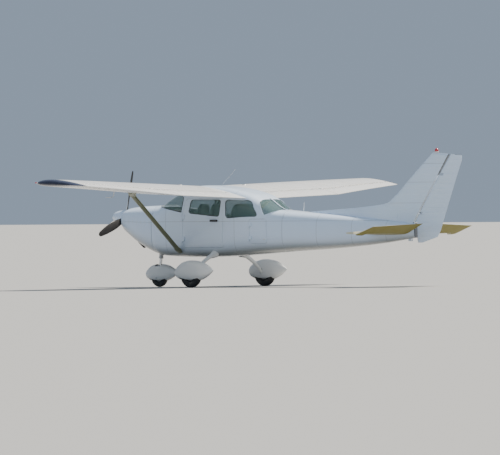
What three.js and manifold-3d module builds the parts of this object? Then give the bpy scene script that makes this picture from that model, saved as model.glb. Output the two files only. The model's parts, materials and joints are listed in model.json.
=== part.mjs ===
// A high-wing, strut-braced light aircraft with a fixed nose-wheel undercarriage, as it stands parked.
// Millimetres, +X aft, +Y to the aircraft's right, +Z up. The origin is on the ground, in the plane
// of symmetry, half way between the spinner's tip and the rudder's rearmost edge.

import * as THREE from 'three';
import { mergeVertices } from 'three/addons/utils/BufferGeometryUtils.js';
import Module from 'manifold-3d';

const wasm = await Module();
wasm.setup();

// Driving dimensions. "Aft" values are distances behind the spinner's tip.

const LENGTH = 8280;
const HALF_SPAN = 5500;
const PARKED_PITCH = 4.5;
const AXLE_TRACK_HALF = 1265;
const MAIN_AXLE_AFT = 2770;
const NOSE_AXLE_AFT = 1120;
const MAIN_TYRE = { radius: 222, half: 78, rim: 88 };
const NOSE_TYRE = { radius: 180, half: 60, rim: 72 };

const TOUCH = 0.3;
const RUNNING_GAP = 6;
const DOOR_GAP = 7;

const WALL = 45;
const GLASS = 6;
const COWL_WALL = 12;
const TAIL_WALL = 6;

const FIREWALL = { front: 1295, thick: 8 };
const CABIN_END = 4350;
const TAIL_END = 7215;

const WING_BREAK = 2700;
const WING_TIP_START = 5330;
const FLAP_HINGE = 0.735;
const AILERON_HINGE = 0.77;
const FLAP_PIVOT_DROP = 130;

const ELEVATOR_HINGE = { aft: 7040, up: 1050 };
const ELEVATOR_REST = 20;
const ELEVATOR_TUBE = 22;
const RUDDER_HINGE = { lowAft: 7207, lowUp: 1231, highAft: 7897, highUp: 2364 };

const PROP = { aft: 312, up: 1367, rest: 9, blades: 3 };
const SPINNER = { radius: 152, length: 389, wall: 6 };

// Fuselage frames. Aft of the tip, half width, top and bottom heights, and how square the upper
// and lower corners are (2 is an ellipse, more is squarer).

const FRAMES = [
  { aft: 420, half: 300, top: 1500, bottom: 1160, upper: 2.3, lower: 2.2 },
  { aft: 485, half: 392, top: 1537, bottom: 1080, upper: 2.6, lower: 2.4 },
  { aft: 620, half: 448, top: 1566, bottom: 985, upper: 3.0, lower: 2.6 },
  { aft: 900, half: 492, top: 1592, bottom: 805, upper: 3.2, lower: 2.8 },
  { aft: 1295, half: 526, top: 1606, bottom: 642, upper: 3.4, lower: 3.2 },
  { aft: 1400, half: 538, top: 1612, bottom: 620, upper: 3.6, lower: 3.6 },
  { aft: 1680, half: 548, top: 1755, bottom: 602, upper: 4.2, lower: 4.2 },
  { aft: 1960, half: 556, top: 1892, bottom: 592, upper: 5.0, lower: 4.5 },
  { aft: 2120, half: 560, top: 1955, bottom: 588, upper: 6.0, lower: 4.5 },
  { aft: 2450, half: 562, top: 1992, bottom: 588, upper: 6.0, lower: 4.5 },
  { aft: 3000, half: 560, top: 1945, bottom: 606, upper: 6.0, lower: 4.5 },
  { aft: 3560, half: 540, top: 1822, bottom: 640, upper: 5.0, lower: 4.0 },
  { aft: 3760, half: 524, top: 1738, bottom: 652, upper: 4.2, lower: 3.6 },
  { aft: 4180, half: 470, top: 1502, bottom: 678, upper: 3.6, lower: 3.3 },
  { aft: 4350, half: 446, top: 1487, bottom: 690, upper: 3.4, lower: 3.2 },
  { aft: 5400, half: 306, top: 1395, bottom: 748, upper: 3.0, lower: 3.0 },
  { aft: 6400, half: 178, top: 1305, bottom: 834, upper: 2.8, lower: 2.8 },
  { aft: 7215, half: 84, top: 1228, bottom: 945, upper: 2.6, lower: 2.6 },
];
const FRAME_POINTS = 28;

// Wing sections of the right wing. Out from the centre plane, leading edge aft and up, chord, and
// the angle by which the nose is raised.

const WING = [
  { out: 470, aft: 1930, up: 1905, chord: 1630, raised: 6.0 },
  { out: WING_BREAK, aft: 1932, up: 1971, chord: 1630, raised: 6.0 },
  { out: 5420, aft: 2075, up: 2054, chord: 1120, raised: 3.0 },
];
const DIHEDRAL = Math.atan2(WING[1].up - WING[0].up, WING[1].out - WING[0].out);
const WING_SECTION = { camber: 0.02, crest: 0.4, thick: 0.12 };
const SECTION_STEPS = 9;

// Tailplane sections, symmetrical, at the hinge's height, and the elevator's horn at their tips.

const TAILPLANE = [
  { out: 0, aft: 6250, up: 1050, chord: 1310, raised: 0 },
  { out: 1725, aft: 6735, up: 1050, chord: 658, raised: 0 },
];
const TAIL_SECTION = { camber: 0, crest: 0.4, thick: 0.072 };
const HORN = {
  inner: 1505,
  aft: 6918,
  sections: [
    { out: 1505, aft: 6918, kept: 1 },
    { out: 1690, aft: 6918, kept: 1 },
    { out: 1725, aft: 6958, kept: 0.5 },
  ],
};

// Paints and materials.

const FINISH = {
  white: { color: 0xdfe3e8, roughness: 0.3, metalness: 0.0 },
  navy: { color: 0x1b1f33, roughness: 0.3, metalness: 0.0 },
  blade: { color: 0x17181a, roughness: 0.5, metalness: 0.1 },
  glass: { color: 0x9fc4bd, roughness: 0.05, metalness: 0.0 },
  rubber: { color: 0x1c1c1d, roughness: 0.9, metalness: 0.0 },
  steel: { color: 0x8f9396, roughness: 0.4, metalness: 0.9 },
  alloy: { color: 0xb4b8bb, roughness: 0.4, metalness: 0.8 },
  iron: { color: 0x55585a, roughness: 0.6, metalness: 0.6 },
  seat: { color: 0x2b2d33, roughness: 0.8, metalness: 0.0 },
  panel: { color: 0x1e1f22, roughness: 0.8, metalness: 0.0 },
  red: { color: 0xb3141c, roughness: 0.2, metalness: 0.0 },
};

const aircraft = new THREE.Group();
aircraft.name = 'light_aircraft';

// Places

const station = (aft) => aft - LENGTH / 2;
const radians = (degrees) => THREE.MathUtils.degToRad(degrees);

// A row between two of a table's, at a value of the column that the table runs along.
function rowAt(table, column, value) {
  const found = table.findIndex((row) => row[column] >= value);
  const next = found < 0 ? table.length - 1 : Math.max(found, 1);
  const [a, b] = [table[next - 1], table[next]];
  const mix = (value - a[column]) / (b[column] - a[column]);
  const row = {};
  Object.keys(a).forEach((key) => {
    row[key] = a[key] + (b[key] - a[key]) * mix;
  });
  return row;
}

// How far aft a raked line is at a height.
function aftAt({ lowAft, lowUp, highAft, highUp }, up) {
  return lowAft + ((up - lowUp) * (highAft - lowAft)) / (highUp - lowUp);
}

// Turning geometries into solids and back

// Six times the volume that the triangles enclose, negative where they face inwards.
function signedVolume(places, corners) {
  const corner = (i) => new THREE.Vector3().fromArray(places, corners[i] * 3);
  let volume = 0;
  for (let i = 0; i < corners.length; i += 3) {
    volume += corner(i).dot(new THREE.Vector3().crossVectors(corner(i + 1), corner(i + 2)));
  }
  return volume;
}

function solidOf(geometry) {
  geometry.deleteAttribute('normal');
  geometry.deleteAttribute('uv');
  const merged = mergeVertices(geometry, 1e-3);
  const vertProperties = Float32Array.from(merged.attributes.position.array);
  const triVerts = Uint32Array.from(merged.index.array);
  if (signedVolume(vertProperties, triVerts) < 0) {
    triVerts.reverse();
  }
  return new wasm.Manifold(new wasm.Mesh({ numProp: 3, vertProperties, triVerts }));
}

function geometryOf(solid) {
  const mesh = solid.getMesh();
  const geometry = new THREE.BufferGeometry();
  geometry.setAttribute('position', new THREE.BufferAttribute(Float32Array.from(mesh.vertProperties), 3));
  geometry.setIndex(Array.from(mesh.triVerts));
  return geometry;
}

function addPart(name, solid, finish) {
  const mesh = new THREE.Mesh(geometryOf(solid), new THREE.MeshStandardMaterial(FINISH[finish]));
  mesh.name = name;
  aircraft.add(mesh);
}

const union = (solids) => solids.reduce((whole, solid) => whole.add(solid));

function mirrored(solid) {
  return solid.mirror([0, 1, 0]);
}

// Makes the right-hand piece, and its mirror image as the left-hand one.
function addPair(stem, solid, finish) {
  addPart(`${stem}_right`, solid, finish);
  addPart(`${stem}_left`, mirrored(solid), finish);
}

// Basic solids

// A solid through rings of equally many points, each end closed by a fan round its middle. Each side
// face is split along its shorter diagonal, so that mirrored pieces match.
function loft(rings) {
  const count = rings[0].length;
  const points = rings.flat();
  const triangles = [];
  for (let r = 0; r + 1 < rings.length; r += 1) {
    for (let i = 0; i < count; i += 1) {
      const here = r * count + i;
      const next = r * count + ((i + 1) % count);
      const [above, beyond] = [here + count, next + count];
      const split = points[here].distanceTo(points[beyond]) <= points[next].distanceTo(points[above]);
      const rising = [here, next, beyond, here, beyond, above];
      const falling = [here, next, above, next, beyond, above];
      triangles.push(...(split ? rising : falling));
    }
  }
  for (const r of [0, rings.length - 1]) {
    const middle = points.length;
    const centre = new THREE.Vector3();
    rings[r].forEach((point) => centre.addScaledVector(point, 1 / count));
    points.push(centre);
    for (let i = 0; i < count; i += 1) {
      const here = r * count + i;
      const next = r * count + ((i + 1) % count);
      triangles.push(...(r === 0 ? [middle, next, here] : [middle, here, next]));
    }
  }
  const geometry = new THREE.BufferGeometry().setFromPoints(points);
  geometry.setIndex(triangles);
  return solidOf(geometry);
}

function box(aft0, aft1, out0, out1, up0, up1) {
  const geometry = new THREE.BoxGeometry(aft1 - aft0, out1 - out0, up1 - up0);
  geometry.translate(station((aft0 + aft1) / 2), (out0 + out1) / 2, (up0 + up1) / 2);
  return solidOf(geometry);
}

// A cylinder from one point to another, each given as [aft, out, up].
function rod(from, to, radius, sides = 16, endRadius = radius) {
  const start = new THREE.Vector3(station(from[0]), from[1], from[2]);
  const end = new THREE.Vector3(station(to[0]), to[1], to[2]);
  const along = new THREE.Vector3().subVectors(end, start);
  const geometry = new THREE.CylinderGeometry(endRadius, radius, along.length(), sides);
  const turn = new THREE.Quaternion();
  turn.setFromUnitVectors(new THREE.Vector3(0, 1, 0), along.clone().normalize());
  geometry.applyQuaternion(turn);
  geometry.translate(...start.add(end).multiplyScalar(0.5).toArray());
  return solidOf(geometry);
}

// A cylinder straight across the aircraft, between two distances out.
function crossRod(aft, up, [out0, out1], radius, sides) {
  return rod([aft, out0, up], [aft, out1, up], radius, sides);
}

function shapeOf(points) {
  return new THREE.Shape(points.map(([u, v]) => new THREE.Vector2(u, v)));
}

// A side-view outline of [aft, up] points, carried across from one distance out to another.
function sidePrism(points, out0, out1) {
  const shape = shapeOf(points.map(([aft, up]) => [station(aft), up]));
  const geometry = new THREE.ExtrudeGeometry(shape, { depth: out1 - out0, bevelEnabled: false });
  geometry.rotateX(Math.PI / 2);
  geometry.translate(0, out1, 0);
  return solidOf(geometry);
}

// A plan-view outline of [aft, out] points, carried upwards from one height to another.
function planPrism(points, up0, up1) {
  const shape = shapeOf(points.map(([aft, out]) => [station(aft), out]));
  const geometry = new THREE.ExtrudeGeometry(shape, { depth: up1 - up0, bevelEnabled: false });
  geometry.translate(0, 0, up0);
  return solidOf(geometry);
}

// A front-view outline of [out, up] points, carried aft from one place to another.
function frontPrism(points, aft0, aft1) {
  const shape = shapeOf(points);
  const geometry = new THREE.ExtrudeGeometry(shape, { depth: aft1 - aft0, bevelEnabled: false });
  geometry.rotateX(Math.PI / 2);
  geometry.rotateZ(Math.PI / 2);
  geometry.translate(station(aft0), 0, 0);
  return solidOf(geometry);
}

// A profile of [radius, along] points turned about a line across the aircraft. Its flats, and not its
// corners, lie at the radius, and one flat faces straight down, so that a wheel stands on it.
function wheelTurned(profile, aft, out, up, segments) {
  const half = Math.PI / segments;
  const points = profile.map(([r, y]) => new THREE.Vector2(r / Math.cos(half), y));
  const geometry = new THREE.LatheGeometry(points, segments);
  geometry.rotateY(half);
  geometry.translate(station(aft), out, up);
  return solidOf(geometry);
}

// A hinge's fixed and moving sides. Half widths of the lug and of the notch that it turns in, the
// pin's radius and half length, and the play round it.
const HINGE = { lug: 6, notch: 12, pin: 5, reach: 28, play: 0.2, drawnIn: 10 };

// Rods and a block about a line through a point, for a hinge whose moving piece has a round nose:
// what its carrier gains, and what the moving piece loses.
function hingeSides(middle, along, forward, nose) {
  const upright = new THREE.Vector3().crossVectors(forward, along);
  const basis = new THREE.Matrix4().makeBasis(forward, along, upright).setPosition(middle);
  const turned = (halfLength, radius, sides) => {
    const geometry = new THREE.CylinderGeometry(radius, radius, 2 * halfLength, sides);
    return solidOf(geometry.applyMatrix4(basis));
  };
  const reach = nose + RUNNING_GAP + 14;
  const thick = 2 * (nose - HINGE.drawnIn);
  const block = new THREE.BoxGeometry(reach, 2 * HINGE.lug, thick * 0.8);
  block.translate(reach / 2, 0, 0).applyMatrix4(basis);
  const knuckle = turned(HINGE.lug, nose - HINGE.drawnIn, 8);
  const lug = union([knuckle, solidOf(block), turned(HINGE.reach, HINGE.pin, 6)]);
  const bore = turned(HINGE.reach + 2, (HINGE.pin + HINGE.play) / Math.cos(Math.PI / 6), 6);
  return { lug, notch: turned(HINGE.notch, nose + 6, 8).add(bore) };
}

// Fuselage skins

// One frame's ring, moved inwards by inset.
function frameRing(frame, inset = 0) {
  const middle = (frame.top + frame.bottom) / 2;
  const ring = [];
  for (let i = 0; i < FRAME_POINTS; i += 1) {
    const angle = (i / FRAME_POINTS) * 2 * Math.PI;
    const [c, s] = [Math.cos(angle), Math.sin(angle)];
    const power = 2 / (s >= 0 ? frame.upper : frame.lower);
    const height = (s >= 0 ? frame.top - middle : middle - frame.bottom) - inset;
    const out = (frame.half - inset) * Math.sign(c) * Math.abs(c) ** power;
    const up = middle + height * Math.sign(s) * Math.abs(s) ** power;
    ring.push(new THREE.Vector3(station(frame.aft), out, up));
  }
  return ring;
}

// The fuselage's form between two places, moved inwards by inset.
function hull(aft0, aft1, inset = 0) {
  const between = FRAMES.filter((frame) => frame.aft > aft0 + 1 && frame.aft < aft1 - 1);
  const frames = [rowAt(FRAMES, 'aft', aft0), ...between, rowAt(FRAMES, 'aft', aft1)];
  return loft(frames.map((frame) => frameRing(frame, inset)));
}

const cabinOuter = hull(FIREWALL.front + FIREWALL.thick + TOUCH, CABIN_END);
const cabinInner = hull(FIREWALL.front + FIREWALL.thick - 40, CABIN_END - 70, WALL);
const cabinWall = cabinOuter.subtract(cabinInner);
const cabinGlass = cabinOuter.subtract(hull(FIREWALL.front - 1, CABIN_END + 40, GLASS));
const cabinGrown = hull(FIREWALL.front - 1, CABIN_END + 200, -TOUCH);
const tailGrown = hull(CABIN_END - 100, TAIL_END, -TOUCH);

// Doors and windows, as side-view outlines of [aft, up] points.

const DOOR = {
  front: 2073, rear: 3030, bottom: 775, top: 1736, sill: 1440, topFront: 2160, hingeOut: 573,
};
const BAGGAGE = {
  front: 3645, rear: 4022, bottom: 850, top: 1330, sill: 1200, topFront: 3645, hingeOut: 546,
};

const WINDSHIELD_CUT = [
  [1392, 1598], [2045, 1467], [2107, 1750], [1965, 1868], [1965, 2100], [1392, 2100],
];
const WINDSHIELD_PANE = [
  [1393, 1599], [2044.5, 1468], [2106.4, 1749.7], [1964.5, 1867.4], [1964.5, 2100], [1393, 2100],
];
const REAR_CUT = [[3807, 2000], [3807, 1665], [3965, 1392], [4175, 1484], [4190, 2000]];
const REAR_PANE = [
  [3807.6, 2000], [3807.6, 1665.4], [3965.2, 1392.8], [4174.3, 1484.6], [4189, 2000],
];

// The outline of a window with its corners cut, shrunk by less all round.
function windowOutline(corners, cut, less) {
  const points = [];
  const mean = (values) => values.reduce((sum, value) => sum + value / values.length, 0);
  const [midAft, midUp] = [mean(corners.map(([a]) => a)), mean(corners.map(([, u]) => u))];
  const inner = corners.map(([a, u]) => (
    [a - Math.sign(a - midAft) * less, u - Math.sign(u - midUp) * less]
  ));
  inner.forEach(([a, u], i) => {
    for (const j of [(i + inner.length - 1) % inner.length, (i + 1) % inner.length]) {
      const [b, v] = inner[j];
      const span = Math.hypot(b - a, v - u);
      points.push([a + ((b - a) * cut) / span, u + ((v - u) * cut) / span]);
    }
  });
  return points;
}

const DOOR_WINDOW = [[2218, 1450], [2943, 1378], [2998, 1708], [2290, 1712]];
const SIDE_WINDOW = [[3102, 1350], [3835, 1380], [3665, 1692], [3102, 1706]];
const doorWindow = (less) => windowOutline(DOOR_WINDOW, 45, less);
const sideWindow = (less) => windowOutline(SIDE_WINDOW, 60, less);

const DOOR_CORNER = 50;

function doorOutline(door, less) {
  const { front, rear, bottom, top, sill, topFront } = door;
  const [a0, a1, a2] = [front + less, rear - less, topFront + less];
  const [u0, u1] = [bottom + less, top - less];
  return [
    [a0 + DOOR_CORNER, u0], [a1 - DOOR_CORNER, u0], [a1, u0 + DOOR_CORNER], [a1, u1 - DOOR_CORNER],
    [a1 - DOOR_CORNER, u1], [a2 + DOOR_CORNER / 2, u1], [a0, sill], [a0, u0 + DOOR_CORNER],
  ];
}

const RIGHT_SIDE = [200, 900];
const DOOR_HINGES = { ups: [900, 1330], height: 90, footIn: 545 };
const BAGGAGE_HINGES = { ups: [930, 1180], height: 70, footIn: 505 };

// Cabin

function cabinShell() {
  let shell = cabinWall;
  for (const side of [1, -1]) {
    const [near, far] = side > 0 ? RIGHT_SIDE : [-RIGHT_SIDE[1], -RIGHT_SIDE[0]];
    shell = shell.subtract(sidePrism(doorOutline(DOOR, 0), near, far));
    shell = shell.subtract(sidePrism(sideWindow(0), near, far));
  }
  shell = shell.subtract(sidePrism(doorOutline(BAGGAGE, 0), -RIGHT_SIDE[1], -RIGHT_SIDE[0]));
  shell = shell.subtract(sidePrism(WINDSHIELD_CUT, -900, 900));
  shell = shell.subtract(sidePrism(REAR_CUT, -900, 900));
  const doorLugs = union(fixedHinges(DOOR, DOOR_HINGES));
  const baggageLugs = mirrored(union(fixedHinges(BAGGAGE, BAGGAGE_HINGES)));
  return union([shell, doorLugs, mirrored(doorLugs), baggageLugs]);
}
addPart('windshield', cabinGlass.intersect(sidePrism(WINDSHIELD_PANE, -899, 899)), 'glass');
addPart('rear_window', cabinGlass.intersect(sidePrism(REAR_PANE, -899, 899)), 'glass');

const sidePane = (outline) => cabinGlass.intersect(sidePrism(outline, ...RIGHT_SIDE));
addPair('side_window', sidePane(sideWindow(0.4)), 'glass');
addPair('door_window', sidePane(doorWindow(0.4)), 'glass');

// A hinge's pin ahead of the door's edge, its knuckle, and how far its strap runs and stands out.
const KNUCKLE = { ahead: 2, radius: 9, out: 4, strap: 45, fixedHeight: 32, fixedFoot: 34, fixedIn: 30 };

// A door's hinges: a knuckle outside the skin at its front edge, a strap aft of it, and a foot in
// the door.
function doorHinges(door, { ups, height, footIn }) {
  const pin = door.front - KNUCKLE.ahead;
  const strapEnd = door.front + KNUCKLE.strap;
  const [strapIn, strapOut] = [door.hingeOut - KNUCKLE.radius, door.hingeOut + KNUCKLE.out];
  return ups.flatMap((up) => [
    rod([pin, door.hingeOut, up], [pin, door.hingeOut, up + height], KNUCKLE.radius, 10),
    box(pin, strapEnd, strapIn, strapOut, up, up + height),
    box(door.front + DOOR_GAP + 3, strapEnd, footIn, door.hingeOut, up, up + height),
  ]);
}

// The fixed half of each hinge, just under the door's knuckle: a knuckle, and a foot on the skin
// ahead of it.
function fixedHinges(door, { ups }) {
  const pin = door.front - KNUCKLE.ahead;
  const [footIn, footOut] = [door.hingeOut - KNUCKLE.fixedIn, door.hingeOut + KNUCKLE.out];
  return ups.flatMap((up) => {
    const [low, high] = [up - KNUCKLE.fixedHeight, up - TOUCH];
    return [
      rod([pin, door.hingeOut, low], [pin, door.hingeOut, high], KNUCKLE.radius, 10),
      box(pin - KNUCKLE.fixedFoot, pin, footIn, footOut, low, high),
    ];
  });
}

function doorPanel() {
  const panel = cabinWall.intersect(sidePrism(doorOutline(DOOR, DOOR_GAP), ...RIGHT_SIDE));
  const open = panel.subtract(sidePrism(doorWindow(0), ...RIGHT_SIDE));
  return union([open, ...doorHinges(DOOR, DOOR_HINGES)]);
}

addPair('door', doorPanel(), 'white');

const HANDLE = { front: 2750, rear: 2918, near: 583, far: 597, bottom: 1278, top: 1320 };
const HANDLE_FOOT = { in: 550, wide: 22, fromEnd: 5, lower: 4 };

const handleFeet = [
  HANDLE.front + HANDLE_FOOT.fromEnd,
  HANDLE.rear - HANDLE_FOOT.fromEnd - HANDLE_FOOT.wide,
].map((aft) => {
  const [low, high] = [HANDLE.bottom + HANDLE_FOOT.lower, HANDLE.top - HANDLE_FOOT.lower];
  return box(aft, aft + HANDLE_FOOT.wide, HANDLE_FOOT.in, HANDLE.near + 1, low, high);
});
const handle = union([
  box(HANDLE.front, HANDLE.rear, HANDLE.near, HANDLE.far, HANDLE.bottom, HANDLE.top),
  ...handleFeet,
]);
addPair('door_handle', handle.subtract(cabinGrown), 'blade');

function baggageDoor() {
  const panel = cabinWall.intersect(sidePrism(doorOutline(BAGGAGE, DOOR_GAP), ...RIGHT_SIDE));
  return union([panel, ...doorHinges(BAGGAGE, BAGGAGE_HINGES)]);
}

addPart('baggage_door', mirrored(baggageDoor()), 'white');
addPart('cabin_shell', cabinShell(), 'white');

// Nose

const firewall = hull(FIREWALL.front, FIREWALL.front + FIREWALL.thick);
addPart('firewall', firewall, 'steel');

const COWL = { front: 420, rear: FIREWALL.front - TOUCH };
const COWL_SPLIT = { front: 1312, rear: 1268, gap: 0.6 };
const ENGINE = { front: 540, half: 345, sump: 940, bottom: 1010, top: 1500, legFront: 1120, shaft: 75 };
const NOSE_BAY = { front: 1000, half: 150, bottom: 500, top: 900 };
const SHAFT_HOLE = { up: 1359, radius: 100 };

// Air inlets: the middle of each, and half its width and height.
const INLETS = [
  { aft: 430, out: 238, up: 1372, halfWide: 52, halfHigh: 66 },
  { aft: 430, out: -238, up: 1372, halfWide: 52, halfHigh: 66 },
  { aft: 500, out: 0, up: 1108, halfWide: 150, halfHigh: 46 },
];
const INLET_DEPTH = 260;

// All that the cowl's shell leaves open.
function cowlRoom() {
  const inner = hull(COWL.front + COWL_WALL, COWL.rear + 60, COWL_WALL);
  const inlets = INLETS.map(({ aft, out, up, halfWide, halfHigh }) => {
    const inlet = new THREE.CylinderGeometry(1, 1, INLET_DEPTH, 20);
    inlet.scale(halfWide, 1, halfHigh);
    inlet.rotateZ(Math.PI / 2);
    inlet.translate(station(aft), out, up);
    return solidOf(inlet);
  });
  const { up, radius } = SHAFT_HOLE;
  const shaft = rod([COWL.front - 20, 0, up], [COWL.front + 60, 0, up], radius, 24);
  const { front, half, bottom, top } = NOSE_BAY;
  const bay = box(front, COWL.rear + 5, -half, half, bottom, top);
  return union([inner, ...inlets, shaft, bay]);
}

function cowlHalves() {
  const shell = hull(COWL.front, COWL.rear).subtract(cowlRoom());
  const line = [[200, COWL_SPLIT.front], [1400, COWL_SPLIT.rear]];
  const upper = sidePrism([...line, [1400, 2200], [200, 2200]], -900, 900);
  const lowered = line.map(([aft, up]) => [aft, up - COWL_SPLIT.gap]);
  const lower = sidePrism([...lowered, [1400, 300], [200, 300]], -900, 900);
  return [shell.intersect(upper), shell.intersect(lower)];
}

const [cowlUpper, cowlLower] = cowlHalves();
addPart('cowl_upper', cowlUpper, 'white');
addPart('cowl_lower', cowlLower, 'white');

const engineRoom = hull(COWL.front, FIREWALL.front - TOUCH, COWL_WALL + 8);
const engine = union([
  box(ENGINE.front, FIREWALL.front, -ENGINE.half, ENGINE.half, ENGINE.bottom, ENGINE.top),
  box(ENGINE.front, ENGINE.legFront, -ENGINE.half, ENGINE.half, ENGINE.sump, ENGINE.bottom + 5),
]).intersect(engineRoom);

// Everything on the propeller is made on an upright disc at the origin, then tilted and set in place.
function propellerPlaced(geometryOrSolid) {
  const matrix = new THREE.Matrix4().makeRotationY(radians(PARKED_PITCH));
  matrix.setPosition(station(PROP.aft), 0, PROP.up);
  return geometryOrSolid.transform(matrix.elements.slice());
}

const HUB = { radius: 92, half: 75 };
const SHAFT_LENGTH = 230;

const shaft = new THREE.CylinderGeometry(ENGINE.shaft, ENGINE.shaft, SHAFT_LENGTH, 20);
shaft.rotateZ(Math.PI / 2);
shaft.translate(HUB.half + TOUCH + SHAFT_LENGTH / 2, 0, 0);
addPart('engine_block', engine.add(propellerPlaced(solidOf(shaft))), 'iron');

// Blade stations: distance out, chord, thickness and pitch angle.
const BLADE = [
  { out: 60, chord: 88, thick: 70, pitch: 42 },
  { out: 230, chord: 128, thick: 34, pitch: 34 },
  { out: 420, chord: 162, thick: 22, pitch: 26 },
  { out: 640, chord: 150, thick: 14, pitch: 20 },
  { out: 830, chord: 112, thick: 9, pitch: 16 },
  { out: 940, chord: 46, thick: 6, pitch: 14 },
];
const BLADE_POINTS = 10;

// A blade of a propeller that turns clockwise as seen from the cabin, its leading edge forward.
function blade(angle) {
  const fore = new THREE.Vector3(1, 0, 0);
  const rings = BLADE.map(({ out, chord, thick, pitch }) => {
    const turn = radians(pitch);
    const ring = [];
    for (let i = 0; i < BLADE_POINTS; i += 1) {
      const around = (i / BLADE_POINTS) * 2 * Math.PI;
      const [u, v] = [(Math.cos(around) * chord) / 2, (Math.sin(around) * thick) / 2];
      const across = u * Math.cos(turn) + v * Math.sin(turn);
      const along = v * Math.cos(turn) - u * Math.sin(turn);
      ring.push(new THREE.Vector3(along, across, out).applyAxisAngle(fore, -radians(angle)));
    }
    return ring;
  });
  return loft(rings);
}

const BACK_PLATE = 8;
const bladeAngles = Array.from({ length: PROP.blades }, (_, i) => PROP.rest + (360 / PROP.blades) * i);

function propeller() {
  const hub = new THREE.CylinderGeometry(HUB.radius, HUB.radius, 2 * HUB.half, 24);
  hub.rotateZ(Math.PI / 2);
  const plate = new THREE.CylinderGeometry(SPINNER.radius, SPINNER.radius, BACK_PLATE, 32);
  plate.rotateZ(Math.PI / 2);
  plate.translate(SPINNER.length - PROP.aft - BACK_PLATE + TOUCH, 0, 0);
  return propellerPlaced(union([solidOf(hub), solidOf(plate), ...bladeAngles.map(blade)]));
}

// The spinner ends just ahead of the back plate. Its outline is a little fuller than an ellipse.
const SPINNER_FORM = { rings: 5, crowding: 1.6, fullness: 2.1 };
const BLADE_SLOT = { radius: 66, length: 200, middle: 160 };

function spinner() {
  const depth = SPINNER.length - BACK_PLATE * 1.5;
  const { rings: count, crowding, fullness } = SPINNER_FORM;
  const rings = Array.from({ length: count + 1 }, (_, i) => (i / count) ** crowding);
  const radiusAt = (along) => SPINNER.radius * Math.sqrt(1 - (1 - along) ** fullness);
  const outside = rings.map((along) => [radiusAt(along), -along * depth]);
  const inside = rings.slice(1).reverse().map((along) => (
    [radiusAt(along) - SPINNER.wall, -along * depth - 1]
  ));
  inside[0][1] = -depth;
  const profile = [...outside, ...inside, [0, inside[inside.length - 1][1]]];
  const shell = new THREE.LatheGeometry(profile.map(([r, y]) => new THREE.Vector2(r, y)), 20);
  shell.rotateZ(Math.PI / 2);
  shell.translate(-PROP.aft, 0, 0);
  const slots = bladeAngles.map((angle) => {
    const slot = new THREE.CylinderGeometry(BLADE_SLOT.radius, BLADE_SLOT.radius, BLADE_SLOT.length, 8);
    slot.translate(0, BLADE_SLOT.middle, 0);
    slot.rotateX(Math.PI / 2 - radians(angle));
    return solidOf(slot);
  });
  return propellerPlaced(solidOf(shell).subtract(union(slots)));
}

addPart('propeller', propeller(), 'blade');
addPart('spinner', spinner(), 'white');

// Rear fuselage

function tailcone() {
  const outer = hull(CABIN_END + TOUCH, TAIL_END);
  const inner = hull(CABIN_END - 40, TAIL_END - 30, TAIL_WALL);
  const bearing = (ELEVATOR_TUBE + 0.4) / Math.cos(Math.PI / 16);
  const tube = crossRod(ELEVATOR_HINGE.aft, ELEVATOR_HINGE.up, [-300, 300], bearing, 16);
  const eye = tieDownEye(TAIL_TIE_DOWN).subtract(inner);
  return outer.subtract(inner).add(eye).subtract(tube);
}

// Lifting surfaces

// Half thickness and camber line of a section, at a fraction of its chord.
function sectionHeights(section, at) {
  const { camber, crest, thick } = section;
  const swell = 0.2969 * Math.sqrt(at) - 0.126 * at;
  const taper = 0.3516 * at ** 2 - 0.2843 * at ** 3 + 0.1015 * at ** 4;
  const half = 5 * thick * (swell - taper) + 0.0012 * at;
  const ahead = (camber / crest ** 2) * (2 * crest * at - at ** 2);
  const behind = (camber / (1 - crest) ** 2) * (1 - 2 * crest + 2 * crest * at - at ** 2);
  const line = at < crest ? ahead : behind;
  return { top: line + half, bottom: line - half, line, half };
}

// A place on a section, from its chord fraction and its height in chords.
function onSection(place, at, height) {
  const turn = radians(place.raised);
  const aft = place.aft + place.chord * (at * Math.cos(turn) + height * Math.sin(turn));
  const up = place.up + place.chord * (height * Math.cos(turn) - at * Math.sin(turn));
  return new THREE.Vector3(station(aft), place.out, up);
}

// Chord fractions from one to another, close together at the nose.
function steps(from, to, count) {
  const share = (i) => 1 - Math.cos(((i / count) * Math.PI) / 2);
  return Array.from({ length: count + 1 }, (_, i) => from + (to - from) * share(i));
}

// Places on a section's upper or lower face.
const onTop = (place, section, at) => onSection(place, at, sectionHeights(section, at).top);
const underneath = (place, section, at) => onSection(place, at, sectionHeights(section, at).bottom);

function sectionRing(place, section) {
  const places = steps(0, 1, SECTION_STEPS).slice(1);
  const top = places.map((at) => onTop(place, section, at));
  const bottom = places.map((at) => underneath(place, section, at));
  return [...top.reverse(), onSection(place, 0, 0), ...bottom];
}

// The section at a distance out, between two of a table's.
const placeAt = (table, out) => rowAt(table, 'out', out);

// The hinge of a control surface: its place on the section, and the radius of the round nose about it.
function hingeAt(table, section, out, at, less) {
  const place = placeAt(table, out);
  const { line, half } = sectionHeights(section, at);
  return { place, at, line, radius: half * place.chord - less };
}

// The section of a control surface: a round nose about its hinge, then the wing's own form to the
// trailing edge.
function controlRing(hinge, section) {
  const { place, at, line, radius } = hinge;
  const ring = [];
  const r = radius / place.chord;
  for (let i = 0; i <= 6; i += 1) {
    const around = (0.5 + i / 6) * Math.PI;
    ring.push(onSection(place, at + r * Math.cos(around), line + r * Math.sin(around)));
  }
  const shoulder = at + Math.min(1.3 * r, 0.05);
  const places = [shoulder, at + 0.45 * (1 - at), 1];
  const bottom = places.map((x) => underneath(place, section, x));
  const top = places.map((x) => onTop(place, section, x));
  return [...ring, ...bottom, ...top.reverse()];
}

// What a control surface needs cut out of the surface ahead of it: a round trough and all that is
// behind its lips, which stand ahead of the hinge, in half turns from straight aft.
const COVE_FROM = 0.63;

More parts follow.
